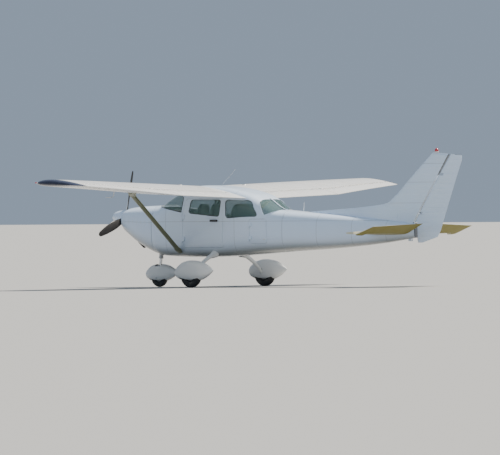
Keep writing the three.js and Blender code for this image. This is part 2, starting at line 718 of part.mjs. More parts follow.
function coveRing(hinge, gap) {
  const { place, at, line, radius } = hinge;
  const ring = [];
  const r = (radius + gap) / place.chord;
  const lip = at + r * Math.cos(COVE_FROM * Math.PI);
  for (let i = 0; i <= 6; i += 1) {
    const around = (COVE_FROM + (i / 6) * 2 * (1 - COVE_FROM)) * Math.PI;
    ring.push(onSection(place, at + r * Math.cos(around), line + r * Math.sin(around)));
  }
  [[lip, -0.2], [1.2, -0.2], [1.2, 0.2], [lip, 0.2]].forEach(([x, z]) => ring.push(onSection(place, x, z)));
  return ring;
}

const FLAP_SPAN = [602, WING_BREAK - 20];
const AILERON_SPAN = [WING_BREAK + 6, 5276];
const END_GAP = 14;

// The flap's section behind its foremost point, in chords: how far behind, and how far its upper
// and lower faces lie inside the wing's own form.
const FLAP_NOSE = [
  { behind: 0.012, under: 0.008, above: 0.012 },
  { behind: 0.05, under: 0.004, above: 0 },
  { behind: 0.13, under: 0, above: 0 },
  { behind: 1 - FLAP_HINGE, under: 0, above: 0 },
];

// A plain rounded nose for the flap, which swings down about a line below the wing.
function flapRing(out) {
  const place = placeAt(WING, out);
  const heights = (behind) => sectionHeights(WING_SECTION, FLAP_HINGE + behind);
  const top = FLAP_NOSE.map(({ behind, under }) => (
    onSection(place, FLAP_HINGE + behind, heights(behind).top - under)
  ));
  const bottom = FLAP_NOSE.map(({ behind, above }) => (
    onSection(place, FLAP_HINGE + behind, heights(behind).bottom + above)
  ));
  return [onSection(place, FLAP_HINGE, heights(0).line), ...bottom, ...top.reverse()];
}

// Everything behind the flap's well, over the flap's span.
function flapWell() {
  const [inner, outer] = [FLAP_SPAN[0] - END_GAP, FLAP_SPAN[1] + END_GAP];
  const ring = (out) => {
    const place = placeAt(WING, out);
    const front = FLAP_HINGE - RUNNING_GAP / place.chord;
    return [[front, -0.2], [1.2, -0.2], [1.2, 0.2], [front, 0.2]].map(([x, z]) => onSection(place, x, z));
  };
  return loft([ring(inner), ring(outer)]);
}

// The flap's tracks: plates that stand out of the wing on an arc about the flap's line of turning,
// with the slots that they run in. Degrees are from straight above that line.
const TRACK = { outs: [850, 2430], low: 185, high: 205, from: -8, to: 36, half: 4, side: 5, play: 1.2 };

function trackPlate(out, grow, side) {
  const place = placeAt(WING, out);
  const drop = sectionHeights(WING_SECTION, FLAP_HINGE).bottom - FLAP_PIVOT_DROP / place.chord;
  const pivot = onSection(place, FLAP_HINGE, drop);
  const [inner, outer] = [TRACK.low - grow, TRACK.high + grow];
  const from = TRACK.from - (grow > 0 ? 20 : 0);
  const angles = Array.from({ length: 8 }, (_, i) => radians(from + ((TRACK.to + grow - from) * i) / 7));
  const arc = (radius) => angles.map((angle) => (
    new THREE.Vector2(radius * Math.sin(angle), radius * Math.cos(angle))
  ));
  const shape = new THREE.Shape([...arc(outer), ...arc(inner).reverse()]);
  const half = TRACK.half + side;
  const geometry = new THREE.ExtrudeGeometry(shape, { depth: 2 * half, bevelEnabled: false });
  geometry.translate(0, 0, -half);
  geometry.rotateX(Math.PI / 2 + DIHEDRAL);
  geometry.translate(pivot.x, pivot.y, pivot.z);
  return solidOf(geometry);
}

function flap() {
  const slots = TRACK.outs.map((out) => trackPlate(out, TRACK.play, TRACK.side));
  return loft(FLAP_SPAN.map(flapRing)).subtract(union(slots));
}

// The ailerons' hinges, as fractions of their span.
const AILERON_HINGES = [0.12, 0.88];

const aileronHinges = AILERON_HINGES.map((part) => {
  const ends = AILERON_SPAN.map((out) => hingeAt(WING, WING_SECTION, out, AILERON_HINGE, 9));
  const [inner, outer] = ends.map(({ place, at, line }) => onSection(place, at, line));
  const along = new THREE.Vector3().subVectors(outer, inner).normalize();
  const forward = new THREE.Vector3(-1, 0, 0).projectOnPlane(along).normalize();
  const nose = ends[0].radius + (ends[1].radius - ends[0].radius) * part;
  return hingeSides(inner.lerp(outer, part), along, forward, nose);
});

function aileron() {
  const hinges = AILERON_SPAN.map((out) => hingeAt(WING, WING_SECTION, out, AILERON_HINGE, 9));
  const whole = loft(hinges.map((hinge) => controlRing(hinge, WING_SECTION)));
  return whole.subtract(union(aileronHinges.map(({ notch }) => notch)));
}

function aileronWell() {
  const ends = [AILERON_SPAN[0] - END_GAP, AILERON_SPAN[1] + END_GAP];
  const hinges = ends.map((out) => hingeAt(WING, WING_SECTION, out, AILERON_HINGE, 9));
  return loft(hinges.map((hinge) => coveRing(hinge, RUNNING_GAP)));
}

function wingPanel() {
  const tipStart = placeAt(WING, WING_TIP_START);
  const whole = loft([...WING.slice(0, 2), tipStart].map((place) => sectionRing(place, WING_SECTION)));
  const cut = whole.subtract(cabinGrown).subtract(flapWell()).subtract(aileronWell());
  const tracks = TRACK.outs.map((out) => trackPlate(out, 0, 0));
  return union([cut, ...tracks, ...aileronHinges.map(({ lug }) => lug)]);
}

const wing = wingPanel();
addPair('wing', wing, 'white');
addPair('flap', flap(), 'white');
addPair('aileron', aileron(), 'white');

// The tip's sections: how much of its full thickness each keeps. It loses less of its chord, mostly
// at the leading edge.
const TIP = [
  { out: WING_TIP_START + TOUCH, kept: 1 },
  { out: 5420, kept: 0.93 },
  { out: 5475, kept: 0.72 },
  { out: HALF_SPAN, kept: 0.3 },
];
const TIP_CHORD_LOSS = 0.4;
const TIP_NOSE_LOSS = 0.22;

// The tip: the wing's section carried on and drawn in to a rounded end.
function wingTip() {
  return loft(TIP.map(({ out, kept }) => {
    const place = placeAt(WING, Math.min(out, WING[WING.length - 1].out));
    const section = { ...WING_SECTION, thick: WING_SECTION.thick * kept };
    const aft = place.aft + place.chord * (1 - kept) * TIP_NOSE_LOSS;
    const chord = place.chord * (1 - (1 - kept) * TIP_CHORD_LOSS);
    return sectionRing({ ...place, out, aft, chord }, section);
  }));
}

addPair('wing_tip', wingTip(), 'navy');

// Struts

const STRUT = {
  chord: 128, thick: 50, fullness: 0.25, points: 14, low: [1985, 520, 690], high: [2244, 2560, 1870],
};

// A tie-down's plate, with the eye for its rope. Front, rear, bottom and top of the plate, its two
// faces across the aircraft, and the middle of the eye.
const TIE_DOWN = {
  front: 2230, rear: 2372, bottom: 1788, top: 1900, near: 2536, far: 2548, eyeAft: 2348, eyeUp: 1812,
};
const TAIL_TIE_DOWN = {
  front: 7030, rear: 7130, bottom: 880, top: 960, near: -6, far: 6, eyeAft: 7104, eyeUp: 904,
};
const EYE_RADIUS = 13;

function tieDownEye({ front, rear, bottom, top, near, far, eyeAft, eyeUp }) {
  const plate = box(front, rear, near, far, bottom, top);
  return plate.subtract(crossRod(eyeAft, eyeUp, [near - 5, far + 5], EYE_RADIUS, 12));
}

// A faired strut: its section is an oval that is fuller towards its front.
function strut() {
  const { chord, thick, fullness, points, low, high } = STRUT;
  const ring = ([aft, out, up]) => Array.from({ length: points }, (_, i) => {
    const around = (i / points) * 2 * Math.PI;
    const along = (Math.cos(around) * chord) / 2;
    const height = (Math.sin(around) * (1 - fullness * Math.cos(around)) * thick) / 2;
    return new THREE.Vector3(station(aft + along), out, up + height);
  });
  const whole = loft([ring(low), ring(high)]).add(tieDownEye(TIE_DOWN));
  return whole.subtract(cabinGrown).subtract(wing.translate([0, 0, -TOUCH]));
}

addPair('wing_strut', strut(), 'white');
addPart('tailcone', tailcone(), 'white');

// Tailplane and elevator

const ELEVATOR_SPAN = [130, 1500];
const RUDDER_ROOM = { front: ELEVATOR_HINGE.aft + 45, rear: 7800, frontHalf: 129, rearHalf: 268 };

const tailHinge = (out, less) => {
  const place = placeAt(TAILPLANE, out);
  return hingeAt(TAILPLANE, TAIL_SECTION, out, (ELEVATOR_HINGE.aft - place.aft) / place.chord, less);
};

function tailplane() {
  const whole = loft([20, 1725].map((out) => sectionRing(placeAt(TAILPLANE, out), TAIL_SECTION)));
  const cove = loft([10, 1900].map((out) => coveRing(tailHinge(out, 6), RUNNING_GAP)));
  const horn = box(HORN.aft - 8, 7600, HORN.inner - 12, 1900, 900, 1200);
  return whole.subtract(cove).subtract(horn).subtract(tailGrown);
}

function elevatorHalf() {
  const surface = loft(ELEVATOR_SPAN.map((out) => controlRing(tailHinge(out, 6), TAIL_SECTION)));
  const horn = loft(HORN.sections.map(({ out, aft, kept }) => {
    const place = placeAt(TAILPLANE, out);
    const section = { ...TAIL_SECTION, thick: TAIL_SECTION.thick * kept };
    const start = (Math.max(aft, place.aft) - place.aft) / place.chord;
    const places = [start + 0.03, start + 0.12, 0.7, 1];
    const bottom = places.map((x) => underneath(place, section, x));
    const top = places.map((x) => onTop(place, section, x));
    return [onSection(place, start, 0), ...bottom, ...top.reverse()];
  }));
  const joinOuts = [ELEVATOR_SPAN[1] - 2, HORN.inner + 2];
  const join = loft(joinOuts.map((out) => controlRing(tailHinge(out, 10), TAIL_SECTION)));
  const { front, rear, frontHalf, rearHalf } = RUDDER_ROOM;
  const rudderRoom = planPrism([[front, 0], [rear, 0], [rear, rearHalf], [front, frontHalf]], 800, 1300);
  const tube = crossRod(ELEVATOR_HINGE.aft, ELEVATOR_HINGE.up, [0, 140], ELEVATOR_TUBE, 16);
  return union([surface, horn, join]).subtract(rudderRoom).add(tube);
}

// The elevator is parked trailing edge up.
function elevator() {
  const half = elevatorHalf();
  const turn = new THREE.Matrix4().makeRotationY(-radians(ELEVATOR_REST));
  const there = new THREE.Matrix4().makeTranslation(station(ELEVATOR_HINGE.aft), 0, ELEVATOR_HINGE.up);
  const back = there.clone().invert();
  return half.add(mirrored(half)).transform(there.multiply(turn).multiply(back).elements.slice());
}

addPair('tailplane', tailplane(), 'white');
addPart('elevator', elevator(), 'white');

// Fin and rudder, as level slices. Up, leading edge aft, and the thickness at the hinge.

const FIN = [
  { up: 1150, lead: 6400, half: 37 },
  { up: 1600, lead: 6600, half: 34 },
  { up: 1790, lead: 6815, half: 32 },
  { up: 1973, lead: 7000, half: 30 },
  { up: 2660, lead: 7698, half: 23 },
];
const FIN_OUTLINE = [[0, 0], [0.04, 0.4], [0.15, 0.8], [0.38, 1.12], [0.7, 1.12], [1, 1]];
const DORSAL = [
  [4720, 1400], [6760, 1180], [6800, 1778], [6708, 1720], [6610, 1655], [6440, 1598], [4720, 1462],
];
const DORSAL_HALF = 16;
const FIN_TOP = [[7400, 2617], [8400, 2517], [8400, 2900], [7400, 2900]];
const RUDDER_REAR = { lowAft: 7778, lowUp: 1075, highAft: 8280, highUp: 2528 };
const RUDDER_SIDE = [
  [6900, 700], [7300, 842], [7707, 958], [RUDDER_REAR.lowAft, RUDDER_REAR.lowUp],
  [RUDDER_REAR.highAft, RUDDER_REAR.highUp], [RUDDER_REAR.highAft, 2800], [6900, 2800],
];
const RUDDER_FOOT = { front: 7246, half: 32, ups: [800, 1000] };
const RUDDER_STEP = 1246;

const rudderHingeAft = (up) => aftAt(RUDDER_HINGE, up);
const rudderRearAft = (up) => aftAt(RUDDER_REAR, Math.max(up, RUDDER_REAR.lowUp));
const finHalf = (up) => rowAt(FIN, 'up', up).half;

const RUDDER_HINGES = [1420, 2200];

const rudderHinges = RUDDER_HINGES.map((up) => {
  const { lowAft, lowUp, highAft, highUp } = RUDDER_HINGE;
  const along = new THREE.Vector3(highAft - lowAft, 0, highUp - lowUp).normalize();
  const forward = new THREE.Vector3(-along.z, 0, along.x);
  const middle = new THREE.Vector3(station(rudderHingeAft(up)), 0, up);
  return hingeSides(middle, along, forward, finHalf(up) - 5);
});

function fin() {
  const rings = FIN.map(({ up, lead, half }) => {
    const rear = rudderHingeAft(up) - half * 1.15 - RUNNING_GAP;
    const face = (side) => FIN_OUTLINE.map(([at, wide]) => (
      new THREE.Vector3(station(lead + at * (rear - lead)), side * wide * half, up)
    ));
    return [...face(1), ...face(-1).slice(1).reverse()];
  });
  const dorsal = sidePrism(DORSAL, -DORSAL_HALF, DORSAL_HALF);
  const lugs = rudderHinges.map(({ lug }) => lug);
  return union([loft(rings), dorsal, ...lugs]).subtract(sidePrism(FIN_TOP, -200, 200)).subtract(tailGrown);
}

function rudderSlice(up, nose, half) {
  const rear = rudderRearAft(up) + 30;
  const ring = [];
  const add = (aft, out) => ring.push(new THREE.Vector3(station(aft), out, up));
  for (let i = 0; i <= 6; i += 1) {
    const around = (0.5 + i / 6) * Math.PI;
    add(nose + half * Math.cos(around), half * Math.sin(around));
  }
  add(nose + 60, -(half + 4));
  add(rear, -3);
  add(rear, 3);
  add(nose + 60, half + 4);
  return ring;
}

function rudder() {
  const upper = [RUDDER_STEP, 1800, 2660].map((up) => rudderSlice(up, rudderHingeAft(up), finHalf(up) - 5));
  const { front, half, ups } = RUDDER_FOOT;
  const foot = [...ups, RUDDER_STEP + 20].map((up) => rudderSlice(up, front + half, half));
  const side = sidePrism(RUDDER_SIDE, -200, 200).subtract(sidePrism(FIN_TOP, -200, 200));
  const notches = rudderHinges.map(({ notch }) => notch);
  return loft(upper).add(loft(foot)).intersect(side).subtract(union(notches));
}

const finSolid = fin();
addPart('fin', finSolid, 'white');
addPart('rudder', rudder(), 'white');

const BEACON = { aft: 7700, up: 2590, profile: [[0, 0], [40, 0], [40, 45], [28, 78], [0, 90]] };
const beaconShape = new THREE.LatheGeometry(BEACON.profile.map(([r, y]) => new THREE.Vector2(r, y)), 16);
beaconShape.rotateX(Math.PI / 2);
beaconShape.translate(station(BEACON.aft), 0, BEACON.up);
addPart('beacon', solidOf(beaconShape).subtract(finSolid.translate([0, 0, TOUCH])), 'red');

// Aerials: a raked whip on the roof and an upright one on the rear fuselage.

const WHIP = { from: [2585, 0, 1960], to: [2950, 0, 2290], radius: 5 };
const REAR_AERIAL = { from: [4567, 0, 1400], to: [4590, 0, 1645], radius: 8 };

const aerial = ({ from, to, radius }, carrier) => rod(from, to, radius, 8, radius * 0.6).subtract(carrier);
addPart('aerial_whip', aerial(WHIP, cabinGrown), 'steel');
addPart('aerial_rear', aerial(REAR_AERIAL, tailGrown), 'white');

// Main undercarriage

const LEG = [
  { out: 380, up: 690, radius: 46 },
  { out: 700, up: 565, radius: 38 },
  { out: 1080, up: 345, radius: 30 },
  { out: 1168, up: 232, radius: 27 },
];
const CUFF = [{ out: 430, up: 660, radius: 74 }, { out: 560, up: 612, radius: 52 }];
const AXLE = { radius: 19, outs: [1150, AXLE_TRACK_HALF + 121] };
const FLANGE = { half: 28, near: 1150, far: 1172, bottom: 190, top: 262 };
const LEG_PLAY = 6;

// One tapering length of the leg after another, all of them grown by so much.
function legSpans(stations, grow = 0) {
  return stations.slice(1).map((end, i) => {
    const start = stations[i];
    const [from, to] = [start, end].map(({ out, up }) => [MAIN_AXLE_AFT, out, up]);
    return rod(from, to, start.radius + grow, 14, end.radius + grow);
  });
}

function mainLeg() {
  const { half, near, far, bottom, top } = FLANGE;
  const flange = box(MAIN_AXLE_AFT - half, MAIN_AXLE_AFT + half, near, far, bottom, top);
  const axle = crossRod(MAIN_AXLE_AFT, MAIN_TYRE.radius, AXLE.outs, AXLE.radius, 16);
  const whole = union([...legSpans(LEG), ...legSpans(CUFF), flange, axle]);
  const clear = [-TOUCH, TOUCH].map((out) => mainFairing().translate([0, out, 0]));
  return whole.subtract(cabinGrown).subtract(union(clear));
}

// A wheel's tyre and its rim, each turned about the axle. Radius and distance along the axle.

// A closed profile from its inner half, given from the middle of the wheel outwards.
function bothSides(points) {
  const near = [...points].reverse().map(([r, y]) => [r, -y]);
  return [...near, ...points, near[0]];
}

function tyreProfile({ radius, half, rim }) {
  const [side, shoulder] = [rim + 0.45 * (radius - rim), radius - 0.22 * (radius - rim)];
  return bothSides([
    [radius, half * 0.42], [shoulder, half * 0.86], [side, half], [rim, half * 0.62],
  ]);
}

function rimProfile({ half, rim }, bore) {
  const out = rim - TOUCH;
  return bothSides([
    [out, half * 0.6], [out * 0.8, half * 0.2], [out * 0.45, half * 0.55], [bore, half * 0.55],
  ]);
}

const BORE_PLAY = 0.6;

function mainWheel(profile) {
  return wheelTurned(profile, MAIN_AXLE_AFT, AXLE_TRACK_HALF, MAIN_TYRE.radius, 24);
}

addPair('main_tyre', mainWheel(tyreProfile(MAIN_TYRE)), 'rubber');
addPair('main_rim', mainWheel(rimProfile(MAIN_TYRE, AXLE.radius + BORE_PLAY)), 'alloy');

// Wheel fairings: aft of the axle, half width, top and bottom, of a full-size main fairing.

const FAIRING = [
  { aft: -370, half: 22, top: 322, bottom: 262 },
  { aft: -350, half: 58, top: 352, bottom: 238 },
  { aft: -310, half: 88, top: 402, bottom: 192 },
  { aft: -160, half: 134, top: 500, bottom: 140 },
  { aft: 20, half: 148, top: 532, bottom: 122 },
  { aft: 220, half: 130, top: 508, bottom: 145 },
  { aft: 400, half: 74, top: 432, bottom: 225 },
  { aft: 515, half: 16, top: 352, bottom: 312 },
];
const FAIRING_WALL = 8;
const FAIRING_POINTS = 16;
const FAIRING_CORNER = 0.8;
const WHEEL_SLOT = { reach: 230, half: 100, top: 230 };

// A hollow fairing over a wheel, open below, at a scale of the full-size one.
function fairing(axleAft, out, scale) {
  const round = (value) => Math.sign(value) * Math.abs(value) ** FAIRING_CORNER;
  const ring = ({ aft, half, top, bottom }, inset) => {
    const middle = (top + bottom) / 2;
    return Array.from({ length: FAIRING_POINTS }, (_, i) => {
      const angle = (i / FAIRING_POINTS) * 2 * Math.PI;
      const y = out + (half * scale - inset) * round(Math.cos(angle));
      const up = (middle + ((top - bottom) / 2 - inset) * round(Math.sin(angle))) * scale;
      return new THREE.Vector3(station(axleAft + aft * scale), y, up);
    });
  };
  const outer = loft(FAIRING.map((row) => ring(row, 0)));
  const inner = loft(FAIRING.slice(1, -1).map((row) => ring(row, FAIRING_WALL)));
  const [reach, side, top] = [WHEEL_SLOT.reach, WHEEL_SLOT.half, WHEEL_SLOT.top].map((x) => x * scale);
  const slot = box(axleAft - reach, axleAft + reach, out - side, out + side, -50, top);
  return outer.subtract(inner).subtract(slot);
}

function mainFairing() {
  return fairing(MAIN_AXLE_AFT, AXLE_TRACK_HALF, 1).subtract(union(legSpans(LEG, LEG_PLAY)));
}

addPair('main_leg', mainLeg(), 'white');
addPair('main_fairing', mainFairing(), 'white');

// Nose undercarriage, raked like the rest of the parked aircraft

const NOSE_LINE = { lowAft: 1146, lowUp: 400, highAft: 1196, highUp: 985 };
const SLEEVE = { radius: 42, bottom: 560, boreTop: 800 };
const SLEEVE_ARMS = { ups: [930, 720], half: 34, halfHeight: 24 };
const PISTON = { radius: 30, play: 1, bottom: 412, top: 780 };

// A rod along the nose leg's line, between two heights.
function noseRod([bottom, top], radius) {
  return rod([aftAt(NOSE_LINE, bottom), 0, bottom], [aftAt(NOSE_LINE, top), 0, top], radius, 20);
}

function noseSleeve() {
  const sleeve = noseRod([SLEEVE.bottom, NOSE_LINE.highUp], SLEEVE.radius);
  const bore = noseRod([SLEEVE.bottom - 20, SLEEVE.boreTop], PISTON.radius + PISTON.play);
  const { ups, half, halfHeight } = SLEEVE_ARMS;
  const arms = ups.map((up) => (
    box(aftAt(NOSE_LINE, up), FIREWALL.front - TOUCH, -half, half, up - halfHeight, up + halfHeight)
  ));
  return union([sleeve, ...arms]).subtract(bore);
}

const CROWN = { front: 1082, rear: 1198, bottom: 388, top: 424 };
const FORK_ARM = [[1090, 164], [1150, 164], [1176, 400], [1096, 400]];
const FORK = { half: 88, thick: 14, axle: 14, axleHalf: 138 };

function noseFork() {
  const piston = noseRod([PISTON.bottom, PISTON.top], PISTON.radius);
  const crown = box(CROWN.front, CROWN.rear, -FORK.half, FORK.half, CROWN.bottom, CROWN.top);
  const arm = sidePrism(FORK_ARM, FORK.half - FORK.thick, FORK.half);
  const across = [-FORK.axleHalf, FORK.axleHalf];
  const axle = crossRod(NOSE_AXLE_AFT, NOSE_TYRE.radius, across, FORK.axle, 16);
  return union([piston, crown, arm, mirrored(arm), axle]);
}

const NOSE_FAIRING_SCALE = 0.86;
const CROWN_HOLE = { front: 1070, rear: 1210, half: 100, bottom: 330, top: 600 };

function noseFairing() {
  const shell = fairing(NOSE_AXLE_AFT, 0, NOSE_FAIRING_SCALE);
  const { front, rear, half, bottom, top } = CROWN_HOLE;
  const crownHole = box(front, rear, -half, half, bottom, top);
  const axleHole = crossRod(NOSE_AXLE_AFT, NOSE_TYRE.radius, [-200, 200], FORK.axle + TOUCH, 16);
  return shell.subtract(crownHole).subtract(axleHole);
}

function noseWheel(profile) {
  return wheelTurned(profile, NOSE_AXLE_AFT, 0, NOSE_TYRE.radius, 24);
}

addPart('nose_leg', noseSleeve(), 'steel');
addPart('nose_fork', noseFork(), 'steel');
addPart('nose_fairing', noseFairing(), 'white');
addPart('nose_tyre', noseWheel(tyreProfile(NOSE_TYRE)), 'rubber');
addPart('nose_rim', noseWheel(rimProfile(NOSE_TYRE, FORK.axle + BORE_PLAY)), 'alloy');

// Cabin furniture

const cabinRoom = hull(FIREWALL.front + FIREWALL.thick + TOUCH, CABIN_END - 75, WALL + TOUCH);

// A seat's back in side view, from the place where it meets the cushion, and the cushion's heights.
const SEAT_BACK = [[0, 980], [110, 960], [225, 1590], [190, 1670], [120, 1640]];
const CUSHION = { rear: 60, frontLow: 900, rearLow: 870, rearHigh: 1010, frontHigh: 1035, slope: 30 };
const SEAT_LEG = { wide: 40, front: 60, rear: 10, inset: 40, bottom: 500, top: 905 };

function chair(backAft, out, half, cushionFront) {
  const [near, far, rear] = [out - half, out + half, backAft + CUSHION.rear];
  const cushion = sidePrism([
    [cushionFront, CUSHION.frontLow], [rear, CUSHION.rearLow],
    [rear, CUSHION.rearHigh], [cushionFront + CUSHION.slope, CUSHION.frontHigh],
  ], near, far);
  const back = sidePrism(SEAT_BACK.map(([aft, up]) => [backAft + aft, up]), near, far);
  const { wide, inset, bottom, top } = SEAT_LEG;
  const legs = [cushionFront + SEAT_LEG.front, backAft + SEAT_LEG.rear].map((aft) => (
    box(aft, aft + wide, near + inset, far - inset, bottom, top)
  ));
  return union([cushion, back, ...legs]).intersect(cabinRoom);
}

addPart('seat_left', chair(2215, -255, 215, 1790), 'seat');
addPart('seat_right', chair(2165, 255, 215, 1740), 'seat');
addPart('rear_bench', chair(3010, 0, 455, 2600), 'seat');

const BOARD = [[-600, 1080], [600, 1080], [600, 1420], [400, 1505], [-400, 1505], [-600, 1420]];
const BOARD_AFT = [1700, 1730];
const HOOD = [[1400, 1470], [1735, 1492], [1735, 1520], [1400, 1500]];
const HOOD_HALF = 395;
const SHELF = { front: 1300, rear: 1705, half: 60, bottom: 1330, top: 1370 };
const YOKE = { out: 255, up: 1262, front: 1725, rear: 1832, half: 140, radius: 13 };
const GRIP = { lowOut: 135, lowUp: 1255, highOut: 150, highUp: 1370, forward: 14, radius: 14 };

function instrumentPanel() {
  const board = frontPrism(BOARD, ...BOARD_AFT);
  const hood = sidePrism(HOOD, -HOOD_HALF, HOOD_HALF);
  const shelf = box(SHELF.front, SHELF.rear, -SHELF.half, SHELF.half, SHELF.bottom, SHELF.top);
  const inside = union([board, hood, shelf]).intersect(cabinRoom);
  return union([inside, yoke(-YOKE.out), yoke(YOKE.out)]);
}

// A control wheel on its column: a bar across, and an upright grip at each end of it.
function yoke(out) {
  const { up, front, rear, half, radius } = YOKE;
  const column = rod([front, out, up], [rear - 2, out, up], radius, 8);
  const bar = crossRod(rear, up, [out - half, out + half], radius, 8);
  const grips = [-1, 1].map((side) => {
    const low = [rear, out + side * GRIP.lowOut, GRIP.lowUp];
    const high = [rear - GRIP.forward, out + side * GRIP.highOut, GRIP.highUp];
    return rod(low, high, GRIP.radius, 8);
  });
  return union([column, bar, ...grips]);
}

addPart('instrument_panel', instrumentPanel(), 'panel');

export default aircraft;
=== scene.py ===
"""A parked high-wing light aircraft: painted skins, glass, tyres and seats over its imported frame.

Metres, +X aft, +Y to the aircraft's own right, +Z up, with the origin on the ground half way along.
Places along the fuselage are written as distances aft of the spinner's tip, and turned into X by
x_at. Every new piece is a surface worked out on a grid of points, thickened or capped into a
closed solid, and rides on the body that carries it.
"""

from __future__ import annotations

import json
import logging
import math
from dataclasses import dataclass, field
from enum import Enum
from typing import Callable, Sequence

import bpy
import numpy as np
from mathutils import Matrix, Vector

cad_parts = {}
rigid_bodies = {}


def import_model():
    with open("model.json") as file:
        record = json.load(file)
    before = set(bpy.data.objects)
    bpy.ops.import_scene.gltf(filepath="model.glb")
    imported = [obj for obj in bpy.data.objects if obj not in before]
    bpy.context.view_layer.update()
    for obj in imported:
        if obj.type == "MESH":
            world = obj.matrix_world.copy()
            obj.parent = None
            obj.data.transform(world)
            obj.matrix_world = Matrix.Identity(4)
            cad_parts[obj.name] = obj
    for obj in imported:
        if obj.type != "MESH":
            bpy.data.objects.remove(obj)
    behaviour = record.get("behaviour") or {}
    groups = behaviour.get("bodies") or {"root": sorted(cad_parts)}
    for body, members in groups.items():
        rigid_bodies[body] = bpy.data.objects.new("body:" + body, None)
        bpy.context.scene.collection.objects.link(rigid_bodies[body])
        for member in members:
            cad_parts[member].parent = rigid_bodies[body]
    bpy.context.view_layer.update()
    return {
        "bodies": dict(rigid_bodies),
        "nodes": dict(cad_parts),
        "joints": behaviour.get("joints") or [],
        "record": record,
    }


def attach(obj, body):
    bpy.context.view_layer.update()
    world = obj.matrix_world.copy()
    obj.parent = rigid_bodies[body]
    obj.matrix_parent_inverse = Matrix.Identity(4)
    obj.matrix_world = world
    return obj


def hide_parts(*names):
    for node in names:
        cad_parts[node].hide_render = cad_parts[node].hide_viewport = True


LOG = logging.getLogger("aircraft")
Array = np.ndarray
Level = Callable[[Array], Array]
Pair = tuple[float, float]
Colour = tuple[float, float, float]

SHARP = math.radians(38)
HALF_LENGTH = 4.14
ACROSS = np.array([[0, 1, 0], [1, 0, 0], [0, 0, 1]], float)
UPWARDS = np.array([[0, 0, 1], [0, 1, 0], [1, 0, 0]], float)


class Side(Enum):
    """The aircraft's own right and left, as signs on Y."""

    RIGHT = 1
    LEFT = -1

    @property
    def word(self) -> str:
        """The side's name as it ends a piece's name."""
        return self.name.lower()


class Slot(Enum):
    """The record's material slots that the new pieces belong to."""

    SKIN = "white_skin"
    GLASS = "cabin_glass"
    BLADE = "blade_black"
    TIP = "tip_navy"
    BEACON = "beacon_red"
    STEEL = "leg_steel"
    LEG = "leg_white"
    FIREWALL = "firewall_steel"
    TYRE = "tyre_black"
    RIM = "rim_alloy"
    SEAT = "seat_cloth"
    PANEL = "panel_plastic"


def x_at(aft: Array | float) -> Array:
    """X of a distance aft of the spinner's tip."""
    return np.asarray(aft) - HALF_LENGTH


def full_turn(count: int) -> Array:
    """Even angles of a whole turn."""
    return np.linspace(0, 2 * math.pi, count, endpoint=False)


def circle(count: int) -> tuple[Array, Array]:
    """Cosines and sines of those angles."""
    turn = full_turn(count)
    return np.cos(turn), np.sin(turn)


def ball(rows: int, columns: int) -> Array:
    """Points of a unit ball in level rings, without its poles."""
    rise, turn = np.linspace(-math.pi / 2, math.pi / 2, rows)[1:-1, None], full_turn(columns)[None, :]
    return np.stack([np.cos(rise) * np.cos(turn), np.cos(rise) * np.sin(turn), np.sin(rise) + 0 * turn], -1)


def xyz(x: Array, y: Array, z: Array) -> Array:
    """Points from their three coordinates."""
    return np.stack(np.broadcast_arrays(x, y, z), -1)


def square_reach(c: Array, s: Array, power: float) -> Array:
    """Reach of the unit superellipse of a power, in the direction of a cosine and a sine."""
    return (np.abs(c) ** power + np.abs(s) ** power) ** (-1 / power)


# Curves and outlines


def smooth_through(at: Array, knots: Sequence[float], values: Sequence[float]) -> Array:
    """A curve through the knots that never overshoots them.

    Each stretch is a cubic whose end slopes are the harmonic mean of the neighbouring chords'
    slopes, or nothing where those turn round.

    Args:
        at: Where the curve is wanted.
        knots: Rising places of the given values.
        values: The values there.

    Returns:
        The curve's values, in the shape of at.
    """
    x, y = np.asarray(knots, float), np.asarray(values, float)
    chord = np.diff(y) / np.diff(x)
    slope = np.zeros_like(y)
    same = chord[1:] * chord[:-1] > 0
    total = np.where(same, chord[1:] + chord[:-1], 1.0)
    slope[1:-1] = np.where(same, 2 * chord[1:] * chord[:-1] / total, 0.0)
    slope[0], slope[-1] = chord[0], chord[-1]
    at = np.asarray(at, float)
    i = np.clip(np.searchsorted(x, at) - 1, 0, len(x) - 2)
    h = x[i + 1] - x[i]
    t = (at - x[i]) / h
    start = (1 + 2 * t) * (1 - t) ** 2 * y[i] + t * (1 - t) ** 2 * h * slope[i]
    end = t**2 * (3 - 2 * t) * y[i + 1] + t**2 * (t - 1) * h * slope[i + 1]
    return start + end


def spaced(low: float, high: float, count: int) -> Array:
    """Fractions from low to high, close together at low: one minus the cosine of a quarter turn."""
    return low + (high - low) * (1 - np.cos(np.linspace(0, math.pi / 2, count)))


